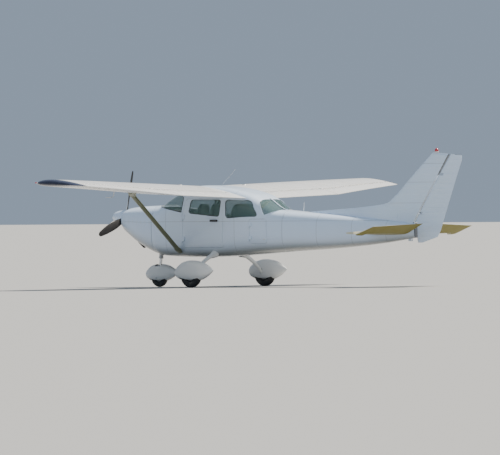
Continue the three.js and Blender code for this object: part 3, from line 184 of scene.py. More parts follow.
@dataclass(frozen=True)
class Outline:
    """A closed outline in side view, of corners aft and up, each rounded off."""

    corners: tuple[Pair, ...]
    radius: float = 0.05
    steps: int = 7

    def path(self) -> Array:
        """Each corner as a curve between the points a radius before and after it.

        Returns:
            Points (n, 2), where each rounded corner is the quadratic curve whose middle
            control point is the corner itself.
        """
        corner = np.array(self.corners)
        before, after = np.roll(corner, 1, 0) - corner, np.roll(corner, -1, 0) - corner
        reach = self.radius / np.linalg.norm(before, axis=1, keepdims=True)
        start = corner + before * np.minimum(reach, 0.45)
        reach = self.radius / np.linalg.norm(after, axis=1, keepdims=True)
        end = corner + after * np.minimum(reach, 0.45)
        t = np.linspace(0, 1, self.steps)[None, :, None]
        curve = start[:, None] * (1 - t) ** 2 + corner[:, None] * 2 * t * (1 - t) + end[:, None] * t**2
        return curve.reshape(-1, 2)

    def distance(self, aft: Array, up: Array) -> Array:
        """Distance to the outline, negative inside.

        Each point's distance is the least of its distances to the outline's stretches, and its
        sign comes from how often a line straight aft of it crosses them.

        Args:
            aft: Distances aft of the spinner's tip.
            up: Heights, in the same shape.

        Returns:
            Signed distances in that shape.
        """
        a = self.path()
        b = np.roll(a, -1, 0)
        p = np.stack([aft, up], -1)[..., None, :]
        along = b - a
        t = np.clip(((p - a) * along).sum(-1) / (along**2).sum(-1), 0, 1)
        gap = np.linalg.norm(p - (a + t[..., None] * along), axis=-1).min(-1)
        height = p[..., 1]
        spans = (a[:, 1] > height) != (b[:, 1] > height)
        rise = np.where(np.abs(along[:, 1]) < 1e-9, 1e-9, along[:, 1])
        cross = a[:, 0] + (height - a[:, 1]) * along[:, 0] / rise
        inside = (spans & (p[..., 0] < cross)).sum(-1) % 2 == 1
        return np.where(inside, -gap, gap)


def aft_up(points: Array) -> tuple[Array, Array]:
    """Distances aft of the spinner's tip, and heights, of points."""
    return points[..., 0] + HALF_LENGTH, points[..., 2]


def within(outline: Outline, grow: float) -> Level:
    """Keeps what lies inside an outline that is widened by grow."""
    return lambda points: grow - outline.distance(*aft_up(points))


def beyond(outlines: Sequence[Outline], grow: float) -> Level:
    """Keeps what lies outside all of the outlines, each widened by grow."""
    return lambda points: np.min([o.distance(*aft_up(points)) for o in outlines], axis=0) - grow


# Solids from grids


@dataclass
class Solid:
    """A closed surface: points (n, 3) and triangles (m, 3) that face outwards."""

    points: Array
    triangles: Array

    def facing_out(self) -> "Solid":
        """The same solid, turned inside out if the volume its triangles enclose is negative."""
        a, b, c = (self.points[self.triangles[:, k]] for k in range(3))
        if (a * np.cross(b, c)).sum() < 0:
            self.triangles = self.triangles[:, ::-1]
        return self

    def moved(self, matrix: Array, offset: Sequence[float]) -> "Solid":
        """The solid after a turn by matrix and a shift by offset."""
        return Solid(self.points @ np.asarray(matrix).T + np.asarray(offset), self.triangles)

    def mirrored(self) -> "Solid":
        """The solid's mirror image on the other side of the plane of symmetry."""
        return Solid(self.points * np.array([1, -1, 1]), self.triangles[:, ::-1])

    def on(self, side: Side) -> "Solid":
        """The solid itself on the right, or its mirror image on the left."""
        return self if side is Side.RIGHT else self.mirrored()


def joined(solids: Sequence[Solid]) -> Solid:
    """Several solids as one, their triangles numbered on."""
    starts = np.cumsum([0] + [len(s.points) for s in solids[:-1]])
    triangles = [s.triangles + start for s, start in zip(solids, starts)]
    return Solid(np.concatenate([s.points for s in solids]), np.concatenate(triangles))


def grid_triangles(rows: int, columns: int, around: bool, closed: bool = False) -> Array:
    """Two triangles a cell, the last column joined to the first if around, and the rows if closed."""
    index = np.arange(rows * columns).reshape(rows, columns)
    if closed:
        index = np.concatenate([index, index[:1]])
    if around:
        index = np.concatenate([index, index[:, :1]], axis=1)
    a, b, c, d = index[:-1, :-1], index[:-1, 1:], index[1:, 1:], index[1:, :-1]
    return np.concatenate([np.stack(corners, -1).reshape(-1, 3) for corners in ((a, b, c), (a, c, d))])


def grid_normals(points: Array, around: bool) -> Array:
    """Unit vectors out of a grid: its columns' direction crossed with its rows' direction."""
    along = np.gradient(points, axis=0)
    if around:
        across = np.roll(points, -1, 1) - np.roll(points, 1, 1)
    else:
        across = np.gradient(points, axis=1)
    normal = np.cross(across, along)
    return normal / np.maximum(np.linalg.norm(normal, axis=-1, keepdims=True), 1e-12)


def loft(rings: Array) -> Solid:
    """A solid through closed rings (rows, columns, 3), each end closed by a fan round its middle."""
    rows, columns, _ = rings.shape
    body = grid_triangles(rows, columns, True)
    points = np.concatenate([rings.reshape(-1, 3), rings[0].mean(0)[None], rings[-1].mean(0)[None]])
    here = np.arange(columns)
    after = (here + 1) % columns
    last = (rows - 1) * columns
    first_fan = np.stack([np.full(columns, rows * columns), after, here], -1)
    last_fan = np.stack([np.full(columns, rows * columns + 1), last + here, last + after], -1)
    return Solid(points, np.concatenate([body, first_fan, last_fan])).facing_out()


def turned_ring(rings: Array) -> Solid:
    """A solid through closed rings whose last ring also joins the first, like a tyre."""
    rows, columns, _ = rings.shape
    return Solid(rings.reshape(-1, 3), grid_triangles(rows, columns, True, True)).facing_out()


def triangle_edges(triangles: Array) -> Array:
    """The three edges of each triangle."""
    return np.concatenate([triangles[:, pair] for pair in ([0, 1], [1, 2], [2, 0])])


def trimmed(points: Array, triangles: Array, level: Level) -> tuple[Array, Array]:
    """Cuts a triangle mesh along the line where a level function is nought, and keeps what is above.

    On each triangle edge that the line crosses, the nearer end moves onto the crossing. Then no
    edge crosses the line, and a triangle is kept where none of its corners lies below it.

    Args:
        points: The mesh's points (n, 3).
        triangles: Its triangles (m, 3).
        level: Gives a signed distance for each point, above nought where the mesh is kept.

    Returns:
        The moved points and the kept triangles.
    """
    value = level(points)
    edges = triangle_edges(triangles)
    edges = np.unique(np.sort(edges, axis=1), axis=0)
    edges = edges[value[edges[:, 0]] * value[edges[:, 1]] < 0]
    a, b = edges.T
    t = value[a] / (value[a] - value[b])
    target = points[a] + t[:, None] * (points[b] - points[a])
    near = np.where(t < 0.5, a, b)
    order = np.argsort(-np.where(t < 0.5, t, 1 - t))
    points = points.copy()
    points[near[order]] = target[order]
    value = value.copy()
    value[near] = 0.0
    corner = value[triangles]
    kept = (corner.min(1) >= 0) & (corner.max(1) > 0)
    flat = np.abs(corner).max(1) == 0
    if flat.any():
        kept[flat] = level(points[triangles[flat]].mean(1)) > 0
    return points, triangles[kept]


def shell(grid: Array, thickness: float, level: Level | None = None, around: bool = False) -> Solid:
    """A wall of even thickness under a grid surface, cut along a level line if there is one.

    The outer side is the grid, the inner side is the grid moved inwards along its normals, and a
    strip joins the two along every free edge.

    Args:
        grid: Points (rows, columns, 3) whose columns crossed with rows lead outwards.
        thickness: How far the inner side lies behind.
        level: What to keep, as trimmed() takes it.
        around: Whether the last column joins the first.

    Returns:
        The wall as a closed solid.
    """
    rows, columns, _ = grid.shape
    normals = grid_normals(grid, around).reshape(-1, 3)
    points = grid.reshape(-1, 3)
    triangles = grid_triangles(rows, columns, around)
    if level is not None:
        points, triangles = trimmed(points, triangles, level)
    used, packed = np.unique(triangles, return_inverse=True)
    triangles = packed.reshape(-1, 3)
    points, normals = points[used], normals[used]
    count = len(points)
    edges = triangle_edges(triangles)
    key = np.sort(edges, axis=1)
    _, first, repeats = np.unique(key, axis=0, return_index=True, return_counts=True)
    free = edges[first[repeats == 1]]
    a, b = free.T
    rim = np.concatenate([np.stack([b, a, a + count], -1), np.stack([b, a + count, b + count], -1)])
    inner = triangles[:, ::-1] + count
    both = np.concatenate([points, points - normals * thickness])
    return Solid(both, np.concatenate([triangles, inner, rim])).facing_out()


def tube(path: Array, radius: Array | float, sides: int = 16, closed: bool = False) -> Solid:
    """A round tube along a path.

    Each ring stands square to the path: its two directions are the path's own direction crossed
    with a fixed direction that the path never follows, and then crossed again.

    Args:
        path: Points (n, 3).
        radius: One radius, or one for each point.
        sides: Points round each ring.
        closed: Whether the path's end joins its start.

    Returns:
        The tube as a closed solid.
    """
    if closed:
        ahead = np.roll(path, -1, 0) - np.roll(path, 1, 0)
    else:
        ahead = np.gradient(path, axis=0)
    ahead = ahead / np.linalg.norm(ahead, axis=1, keepdims=True)
    axes = np.eye(3)
    fixed = axes[int(np.argmin(np.abs(ahead).max(0)))]
    first = np.cross(ahead, fixed)
    first /= np.linalg.norm(first, axis=1, keepdims=True)
    second = np.cross(ahead, first)
    turn = full_turn(sides)
    size = np.broadcast_to(np.asarray(radius, float), (len(path),))[:, None, None]
    ring = first[:, None] * np.cos(turn)[None, :, None] + second[:, None] * np.sin(turn)[None, :, None]
    rings = path[:, None] + ring * size
    return turned_ring(rings) if closed else loft(rings)


def lathe(profile: Array, segments: int) -> Solid:
    """A closed profile of radius and distance along, turned round the X axis into a ring."""
    turn = full_turn(segments)[:, None]
    radius, along = profile[None, :, 0], profile[None, :, 1]
    return turned_ring(xyz(along, radius * np.cos(turn), radius * np.sin(turn)))


def lathed(profile: Array, segments: int, axes: Array, at: Sequence[float]) -> Solid:
    """Such a ring with its axes changed over, at a place."""
    return lathe(profile, segments).moved(axes, at).facing_out()


def slant(degrees: float) -> Array:
    """The turn about the Y axis that takes +X downwards."""
    c, s = math.cos(math.radians(degrees)), math.sin(math.radians(degrees))
    return np.array([[c, 0, s], [0, 1, 0], [-s, 0, c]])


def slab(low: Sequence[float], high: Sequence[float], rounding: float, power: float = 5.0) -> Solid:
    """A block with rounded edges: a ball pushed out towards its box's sides.

    Each point is the direction of a ball's point divided by the power mean of its three parts, so
    that a high power gives flat sides, and then kept within the box less its rounding.

    Args:
        low: The box's lowest corner.
        high: Its highest corner.
        rounding: The radius left on its edges.
        power: How flat its sides are.

    Returns:
        The block as a closed solid.
    """
    low, high = np.asarray(low, float), np.asarray(high, float)
    sphere = ball(22, 40)
    square = sphere / (np.abs(sphere) ** power).sum(-1, keepdims=True) ** (1 / power)
    half = (high - low) / 2
    inner = np.maximum(half - rounding, 0)
    return loft((low + high) / 2 + square * inner + sphere * np.minimum(rounding, half))


# Node trees


@dataclass
class Socket:
    """A socket, or a number, on which Python's operators add Math nodes."""

    tree: "Shader"
    value: object

    def _math(self, operation: str, first: object, second: object = 0.0) -> "Socket":
        """One Math node of the two given values."""
        return self.tree.node("ShaderNodeMath", {"operation": operation}, {0: first, 1: second})

    def __add__(self, other: object) -> "Socket":
        """Sum."""
        return self._math("ADD", self, other)

    def __radd__(self, other: object) -> "Socket":
        """Sum, with the socket second."""
        return self._math("ADD", other, self)

    def __sub__(self, other: object) -> "Socket":
        """Difference."""
        return self._math("SUBTRACT", self, other)

    def __rsub__(self, other: object) -> "Socket":
        """Difference, with the socket second."""
        return self._math("SUBTRACT", other, self)

    def __mul__(self, other: object) -> "Socket":
        """Product."""
        return self._math("MULTIPLY", self, other)

    def size(self) -> "Socket":
        """The value without its sign."""
        return self._math("ABSOLUTE", self)

    def wrapped(self, length: float) -> "Socket":
        """What is left over after whole lengths, from nought."""
        return self.tree.node("ShaderNodeMath", {"operation": "FLOORED_MODULO"}, {0: self, 1: length})

    def sine_of(self, turn: float) -> "Socket":
        """The sine of the value times a factor."""
        return self.tree.node("ShaderNodeMath", {"operation": "SINE"}, {0: self * turn})

    def most(self, other: object) -> "Socket":
        """The greater of the two."""
        return self._math("MAXIMUM", self, other)

    def ramp(self, low: float, high: float) -> "Socket":
        """Smoothly from nought at low to one at high."""
        settings = {"interpolation_type": "SMOOTHSTEP"}
        return self.tree.node("ShaderNodeMapRange", settings, {0: self, 1: low, 2: high})


@dataclass
class Shader:
    """A new material's node tree."""

    name: str
    material: bpy.types.Material = field(init=False)

    def __post_init__(self) -> None:
        """Makes the material with its output and one Principled shader."""
        self.material = bpy.data.materials.new(self.name)
        self.material.use_nodes = True
        self.tree = self.material.node_tree
        self.tree.nodes.clear()
        self.output = self.tree.nodes.new("ShaderNodeOutputMaterial")
        self.principled = self.tree.nodes.new("ShaderNodeBsdfPrincipled")
        self.tree.links.new(self.principled.outputs[0], self.output.inputs[0])
        self.coordinates = self.tree.nodes.new("ShaderNodeTexCoord")

    def node(self, kind: str, settings: dict, inputs: dict, output: int | str = 0) -> Socket:
        """Adds a node.

        Args:
            kind: The node's type.
            settings: Its own properties, set first.
            inputs: Values or links by input name or number.
            output: Which output is wanted.

        Returns:
            That output as a Socket.
        """
        made = self.tree.nodes.new(kind)
        for key, value in settings.items():
            setattr(made, key, value)
        for key, value in inputs.items():
            self._fill(made.inputs[key], value)
        return Socket(self, made.outputs[output])

    def _fill(self, socket: bpy.types.NodeSocket, value: object) -> None:
        """Links a Socket's own socket in, or sets a plain value."""
        inner = value.value if isinstance(value, Socket) else value
        if isinstance(inner, bpy.types.NodeSocket):
            self.tree.links.new(inner, socket)
        else:
            socket.default_value = inner

    def set(self, **values: object) -> None:
        """Fills the Principled shader's sockets, named with _ for each space."""
        for key, value in values.items():
            self._fill(self.principled.inputs[key.replace("_", " ")], value)

    def place(self) -> Socket:
        """Object coordinates."""
        return Socket(self, self.coordinates.outputs["Object"])

    def parts(self) -> tuple[Socket, Socket, Socket]:
        """X, Y and Z of the object coordinates."""
        made = self.tree.nodes.new("ShaderNodeSeparateXYZ")
        self.tree.links.new(self.coordinates.outputs["Object"], made.inputs[0])
        return Socket(self, made.outputs[0]), Socket(self, made.outputs[1]), Socket(self, made.outputs[2])

    def facing(self, axis: int = 2) -> Socket:
        """How far the surface faces along an axis of the object, from minus one to one."""
        normal = Socket(self, self.coordinates.outputs["Normal"])
        return self.node("ShaderNodeSeparateXYZ", {}, {0: normal}, axis)

    def noise(self, scale: float, detail: float = 3.0, stretch: Sequence[float] = (1, 1, 1)) -> Socket:
        """Noise from about nought to one, drawn out along the axes by stretch."""
        mapped = self.node("ShaderNodeMapping", {}, {"Vector": self.place(), "Scale": tuple(stretch)})
        return self.node("ShaderNodeTexNoise", {}, {"Vector": mapped, "Scale": scale, "Detail": detail})

    def mix(self, factor: object, first: Colour | Socket, second: Colour | Socket) -> Socket:
        """A colour between two."""
        made = self.tree.nodes.new("ShaderNodeMix")
        made.data_type = "RGBA"
        for key, value in ((0, factor), (6, first), (7, second)):
            if not isinstance(value, Socket) and key != 0:
                value = (*value, 1.0)
            self._fill(made.inputs[key], value)
        return Socket(self, made.outputs[2])

    def bump(self, height: Socket, depth: float, strength: float = 1.0) -> None:
        """Feeds Normal with a bump of the given depth in metres."""
        made = self.node("ShaderNodeBump", {}, {"Height": height, "Distance": depth, "Strength": strength})
        self.set(Normal=made)


@dataclass(frozen=True)
class Paint:
    """Gloss paint on riveted sheet, with seams, rows of rivets, faint waviness, grime and painted shade.

    seams_x, seams_y and seams_z are places of lap seams square to an axis, rivet_pitch is the
    spacing of the rivets beside them, and grime_up is the height under which dirt gathers. below
    is a painted shade tone for what faces down, which on the tail and strut is tinted as the grass's
    painted reflection, coming in between the two values of turning. Past a slanted line, given by
    its X at the ground and its slope aft, the paint turns to the colour dark as painted shade for a
    gap or an end in shadow, and so it does ahead of the line nose. gloss is the share of the usual shine.
    """

    name: str
    # The default bluish white is a painted cool tint for the sky's light in shade, evened out on sunlit tops
    # by the warm key light.
    colour: Colour = (0.68, 0.80, 0.97)
    roughness: float = 0.22
    seams_x: tuple[float, ...] = ()
    seams_y: tuple[float, ...] = ()
    seams_z: tuple[float, ...] = ()
    rivet_pitch: float = 0.032
    rivet_aside: float = 0.014
    grime_up: float = -1.0
    grime: Colour = (0.42, 0.40, 0.36)
    # The near-black of the painted shade past or ahead of the slanted lines.
    dark: Colour = (0.025, 0.025, 0.027)
    # Tone of the painted shade on what faces down.
    below: Colour | None = None
    turning: Pair = (-0.30, 0.22)
    # Slanted lines past which, or ahead of which, the paint turns to painted shade.
    joint: Pair | None = None
    nose: Pair | None = None
    gloss: float = 1.0

    def material(self) -> bpy.types.Material:
        """Builds the paint's node tree."""
        shader = Shader(self.name)
        x, y, z = shader.parts()
        broad, fine = shader.noise(1.3, 4), shader.noise(38, 5)
        streaks = shader.noise(5, 4, (0.35, 1.0, 3.2))
        warm = tuple(c * k for c, k in zip(self.colour, (0.955, 0.945, 0.90)))
        colour = shader.mix(broad.ramp(0.35, 0.75) * 0.5, self.colour, warm)
        seam, rivets = Socket(shader, 0.0), Socket(shader, 0.0)
        riveted = any((self.seams_x, self.seams_y, self.seams_z))
        for axis, along, places in ((x, z, self.seams_x), (y, x, self.seams_y), (z, x, self.seams_z)):
            for place in places:
                seam = (1 - (axis - place).size().ramp(0.0012, 0.0034)).most(seam)
                rivets = self._rivet_row((axis - place - self.rivet_aside).size(), along).most(rivets)
        dirt = streaks.ramp(0.45, 0.8) * 0.35 + fine.ramp(0.5, 0.9) * 0.12
        if self.grime_up > 0:
            dirt = dirt * (0.4 + (1 - z.ramp(self.grime_up - 0.12, self.grime_up + 0.22)) * 0.9)
        colour = shader.mix(dirt * 0.32, colour, self.grime)
        # Painted shade on what faces down; on the tail and strut its tint is the grass's painted reflection.
        if self.below is not None:
            colour = shader.mix(1 - shader.facing().ramp(*self.turning), colour, self.below)
        if riveted:
            colour = shader.mix(seam * 0.72, colour, (0.16, 0.16, 0.16))
            colour = shader.mix(rivets * 0.20, colour, (0.36, 0.36, 0.37))
        # Near-black painted shade past or ahead of a slanted line, for a gap or an end face in shadow.
        for line, sign in ((self.joint, 1), (self.nose, -1)):
            if line is not None:
                past = ((x - z * line[1] - line[0]) * sign).ramp(0, 0.001)
                colour = shader.mix(past * 0.9, colour, self.dark)
        shader.set(Base_Color=colour, Roughness=self.roughness + dirt * 0.30 + fine * 0.05)
        shader.set(Coat_Weight=0.35 * self.gloss, Coat_Roughness=0.06, IOR=1.5)
        shader.set(Specular_IOR_Level=0.5 * self.gloss)
        height = broad * 0.5 + fine * 0.03
        if riveted:
            height = height - seam * 0.35 + rivets * 0.22
        shader.bump(height, 0.0035)
        return shader.material

    def _rivet_row(self, away: Socket, along: Socket) -> Socket:
        """Round heads a pitch apart on a line: one within a head's radius of the nearest centre."""
        step = along.wrapped(self.rivet_pitch) - self.rivet_pitch / 2
        reach = step * step + away * away
        return 1 - reach.ramp(0.0022**2, 0.0034**2)


@dataclass(frozen=True)
class Glazing:
    """Tinted acrylic, clear enough to see the cabin through, with a little haze and dust."""

    name: str = "tinted acrylic"
    colour: Colour = (0.150, 0.265, 0.245)
    clearness: float = 0.30

    def material(self) -> bpy.types.Material:
        """Builds the glazing's node tree."""
        shader = Shader(self.name)
        haze = shader.noise(3.5, 4)
        dust = shader.noise(60, 3)
        colour = shader.mix(haze.ramp(0.35, 0.8) * 0.35, self.colour, (0.25, 0.37, 0.34))
        shader.set(Base_Color=colour, Roughness=0.035 + dust.ramp(0.55, 0.9) * 0.06)
        shader.set(Alpha=self.clearness + haze.ramp(0.4, 0.9) * 0.12, IOR=1.49)
        shader.set(Coat_Weight=1.0, Coat_Roughness=0.02)
        return shader.material


@dataclass(frozen=True)
class Rubber:
    """Black rubber, dusty in patches and finely pitted."""

    name: str = "tyre rubber"
    colour: Colour = (0.028, 0.028, 0.029)
    dusty: float = 0.5

    def material(self) -> bpy.types.Material:
        """Builds the rubber's node tree."""
        shader = Shader(self.name)
        dust = shader.noise(14, 5)
        grain = shader.noise(220, 3)
        colour = shader.mix(dust.ramp(0.4, 0.85) * self.dusty, self.colour, (0.15, 0.14, 0.12))
        shader.set(Base_Color=colour, Roughness=0.72 + dust * 0.2)
        shader.bump(grain * 0.5 + dust, 0.0008)
        return shader.material


@dataclass(frozen=True)
class Metal:
    """Bare or cast metal, with brushing or casting grain and darker patches."""

    name: str
    colour: Colour
    roughness: float = 0.35
    metallic: float = 1.0
    grain: float = 90.0
    stain: float = 0.35

    def material(self) -> bpy.types.Material:
        """Builds the metal's node tree."""
        shader = Shader(self.name)
        patch = shader.noise(9, 4)
        grain = shader.noise(self.grain, 4, (1, 1, 0.25))
        dark = tuple(c * 0.55 for c in self.colour)
        colour = shader.mix(patch.ramp(0.45, 0.85) * self.stain, self.colour, dark)
        roughness = self.roughness + grain * 0.16 + patch * 0.1
        shader.set(Base_Color=colour, Metallic=self.metallic, Roughness=roughness)
        shader.bump(grain, 0.0004)
        return shader.material


@dataclass(frozen=True)
class BladePaint:
    """Blade paint: black on the rear faces, light on the front ones.

    It is worn to bright metal along a leading edge attribute and chipped towards it.
    """

    name: str = "blade paint"
    colour: Colour = (0.012, 0.012, 0.013)
    front: Colour = (0.72, 0.74, 0.76)

    def material(self) -> bpy.types.Material:
        """Builds the blade paint's node tree: the attribute lead is one at the leading edge."""
        shader = Shader(self.name)
        lead = shader.node("ShaderNodeAttribute", {"attribute_name": "lead"}, {}, "Fac")
        chips = shader.noise(130, 4)
        worn = (lead + (chips - 0.5) * 0.08).ramp(0.90, 0.94)
        haze = shader.noise(8, 4)
        colour = shader.mix(haze.ramp(0.3, 0.9) * 0.5, self.colour, (0.032, 0.032, 0.034))
        colour = shader.mix((0 - shader.facing(0)).ramp(0.02, 0.12), colour, self.front)
        colour = shader.mix(worn, colour, (0.62, 0.62, 0.61))
        shader.set(Base_Color=colour, Metallic=worn, Roughness=0.62 - worn * 0.2 + haze * 0.12)
        shader.set(Specular_IOR_Level=0.25)
        shader.bump(chips * 0.4 - worn * 0.3, 0.0006)
        return shader.material


@dataclass(frozen=True)
class Cloth:
    """Woven seat cloth: crossing threads by sine waves, faded in patches."""

    name: str = "seat cloth"
    colour: Colour = (0.030, 0.032, 0.040)
    thread: float = 0.0042

    def material(self) -> bpy.types.Material:
        """Builds the cloth's node tree."""
        shader = Shader(self.name)
        x, y, z = shader.parts()
        turn = 2 * math.pi / self.thread
        weave = (x + z).sine_of(turn) * y.sine_of(turn)
        fade = shader.noise(5, 4)
        fuzz = shader.noise(300, 2)
        light = tuple(c * 1.7 for c in self.colour)
        colour = shader.mix(fade.ramp(0.35, 0.8) * 0.5 + weave * 0.18 + 0.18, self.colour, light)
        shader.set(Base_Color=colour, Roughness=0.86 + fuzz * 0.1, Sheen_Weight=0.35, Sheen_Roughness=0.5)
        shader.bump(weave * 0.5 + fuzz * 0.4, 0.0012)
        return shader.material


@dataclass(frozen=True)
class Plastic:
    """Moulded or painted trim with a fine grain and rubbed patches."""

    name: str
    colour: Colour
    roughness: float = 0.5
    coat: float = 0.0

    def material(self) -> bpy.types.Material:
        """Builds the plastic's node tree."""
        shader = Shader(self.name)
        patch = shader.noise(6, 4)
        grain = shader.noise(260, 3)
        light = tuple(min(1.0, c * 1.25 + 0.01) for c in self.colour)
        colour = shader.mix(patch.ramp(0.4, 0.8) * 0.5, self.colour, light)
        shader.set(Base_Color=colour, Roughness=self.roughness + patch * 0.12, Coat_Weight=self.coat)
        shader.bump(grain, 0.0005)
        return shader.material


@dataclass
class Palette:
    """Every finish, made once."""

    made: dict[str, bpy.types.Material] = field(default_factory=dict)

    def of(self, finish: object) -> bpy.types.Material:
        """The material of a finish, built the first time it is asked for."""
        if finish.name not in self.made:
            self.made[finish.name] = finish.material()
        return self.made[finish.name]


def both_sides(*outs: float) -> tuple[float, ...]:
    """The same distances out on the right and on the left."""
    return tuple(sign * out for sign in (1, -1) for out in outs)


PALETTE = Palette()

BODY_PAINT = Paint(
    "body paint",
    seams_x=tuple(x_at(a) for a in (1.66, 3.30, 4.36, 5.10, 5.86, 6.60)),
    seams_z=(1.285,),
    grime_up=0.75,
    # Painted shade on the belly, and near-black painted shade on the tail cone's end face past its line.
    below=(0.33, 0.345, 0.34),
    turning=(-1.0, 0.10),
    joint=(3.0735, 0.0),
)
PLAIN_PAINT = Paint("plain paint")
# Painted shade under the cowling, on what faces down.
COWL_PAINT = Paint("cowl paint", grime_up=0.85, below=(0.33, 0.345, 0.34), turning=(-1.0, 0.10))
WING_PAINT = Paint(
    "wing paint",
    colour=(0.87, 0.87, 0.86),
    seams_y=both_sides(0.95, 1.37, 1.79, 2.21, 2.70, 3.14, 3.60, 4.06, 4.52, 4.98),
    seams_x=(x_at(2.02), x_at(2.48), x_at(2.98)),
)
# Near-black painted shade in the fin's rear hollow, past the slanted line before the rudder.
TAIL_PAINT = Paint("tail paint", seams_z=(1.62, 2.02, 2.38), joint=(2.2547, 0.6192))
FAIRING_PAINT = Paint("fairing paint", colour=(0.78, 0.78, 0.77), roughness=0.3, grime_up=0.34)
WING_PAINT_PLAIN = Paint("control paint", colour=(0.87, 0.87, 0.86))
# The olive grey strut colour and its darker olive underside are painted shade and the grass's painted
# reflection on a white strut.
STRUT_PAINT = Paint("strut paint", colour=(0.62, 0.63, 0.55), roughness=0.30, below=(0.160, 0.170, 0.095))
# The cream is a painted warm sunlight tint, and the olive below is painted shade with the grass's painted
# reflection.
TAILPLANE_PAINT = Paint(
    "tailplane paint",
    colour=(0.78, 0.77, 0.66),
    below=(0.235, 0.205, 0.052),
    roughness=0.5,
    gloss=0.15,
    seams_y=both_sides(0.42, 0.83, 1.24),
)
# The cream is a painted warm sunlight tint, and the olive below is painted shade with the grass's painted
# reflection.
TAIL_CONTROL_PAINT = Paint(
    "elevator paint",
    colour=(0.78, 0.77, 0.66),
    below=(0.235, 0.205, 0.052),
    roughness=0.5,
    gloss=0.15,
)
# Near-black painted shade on the rudder's nose, ahead of the slanted line inside the fin's hollow.
RUDDER_PAINT = Paint("rudder paint", nose=(2.307, 0.609))
LEG_PAINT = Paint("leg paint", colour=(0.76, 0.77, 0.77), roughness=0.28, grime_up=0.42)
FORK_PAINT = Paint("fork paint", colour=(0.60, 0.61, 0.61), roughness=0.34, grime_up=0.3)
GLASS = Glazing()
TYRE = Rubber()
SEAL = Rubber("window seal", (0.045, 0.045, 0.047), 0.2)
CHALK = Metal("bare alloy", (0.66, 0.67, 0.68), 0.32)
STEEL = Metal("dull steel", (0.42, 0.43, 0.44), 0.38)
POLISHED = Metal("polished steel", (0.72, 0.73, 0.74), 0.10, 1.0, 200, 0.1)
IRON = Metal("cast iron", (0.16, 0.16, 0.165), 0.6, 0.6, 60, 0.6)
BLADE = BladePaint()
NAVY = Plastic("navy cap", (0.020, 0.023, 0.052), 0.22, 0.5)
RED_LENS = Plastic("red lens", (0.46, 0.012, 0.02), 0.10, 1.0)
CLEAR_LENS = Plastic("clear lens", (0.80, 0.82, 0.80), 0.06, 1.0)
GREEN_LENS = Plastic("green lens", (0.02, 0.30, 0.12), 0.10, 1.0)
DARK = Plastic("dark trim", (0.035, 0.035, 0.038), 0.55)
LINING = Plastic("cabin lining", (0.17, 0.175, 0.18), 0.7)
CARPET = Plastic("cabin carpet", (0.055, 0.057, 0.062), 0.9)
AERIAL = Plastic("aerial paint", (0.74, 0.75, 0.75), 0.3, 0.3)
DIAL = Plastic("dial face", (0.012, 0.012, 0.013), 0.35)
MARK = Plastic("dial mark", (0.75, 0.75, 0.72), 0.5)
SEAT = Cloth()


def put(
    name: str, solid: Solid, finish: object, slot: Slot, *nodes: str, body: str = "airframe"
) -> bpy.types.Object:
    """Makes a piece of a solid, dresses it and sets it on its body.

    Args:
        name: The piece's name.
        solid: Its closed surface, in the row's frame.
        finish: Its finish.
        slot: The record's slot of the piece; not used.
        nodes: The nodes that it stands for.
        body: The body it rides on.

    Returns:
        The new object.
    """
    mesh = bpy.data.meshes.new(name)
    mesh.from_pydata(solid.points.tolist(), [], solid.triangles.tolist())
    mesh.polygons.foreach_set("use_smooth", np.ones(len(mesh.polygons), bool))
    mesh.update()
    mesh.set_sharp_from_angle(angle=SHARP)
    mesh.materials.append(PALETTE.of(finish))
    piece = bpy.data.objects.new(name, mesh)
    bpy.context.scene.collection.objects.link(piece)
    if nodes:
        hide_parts(*nodes)
    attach(piece, body)
    LOG.info("%s: %d triangles on %s", name, len(solid.triangles), body)
    return piece


# Fuselage


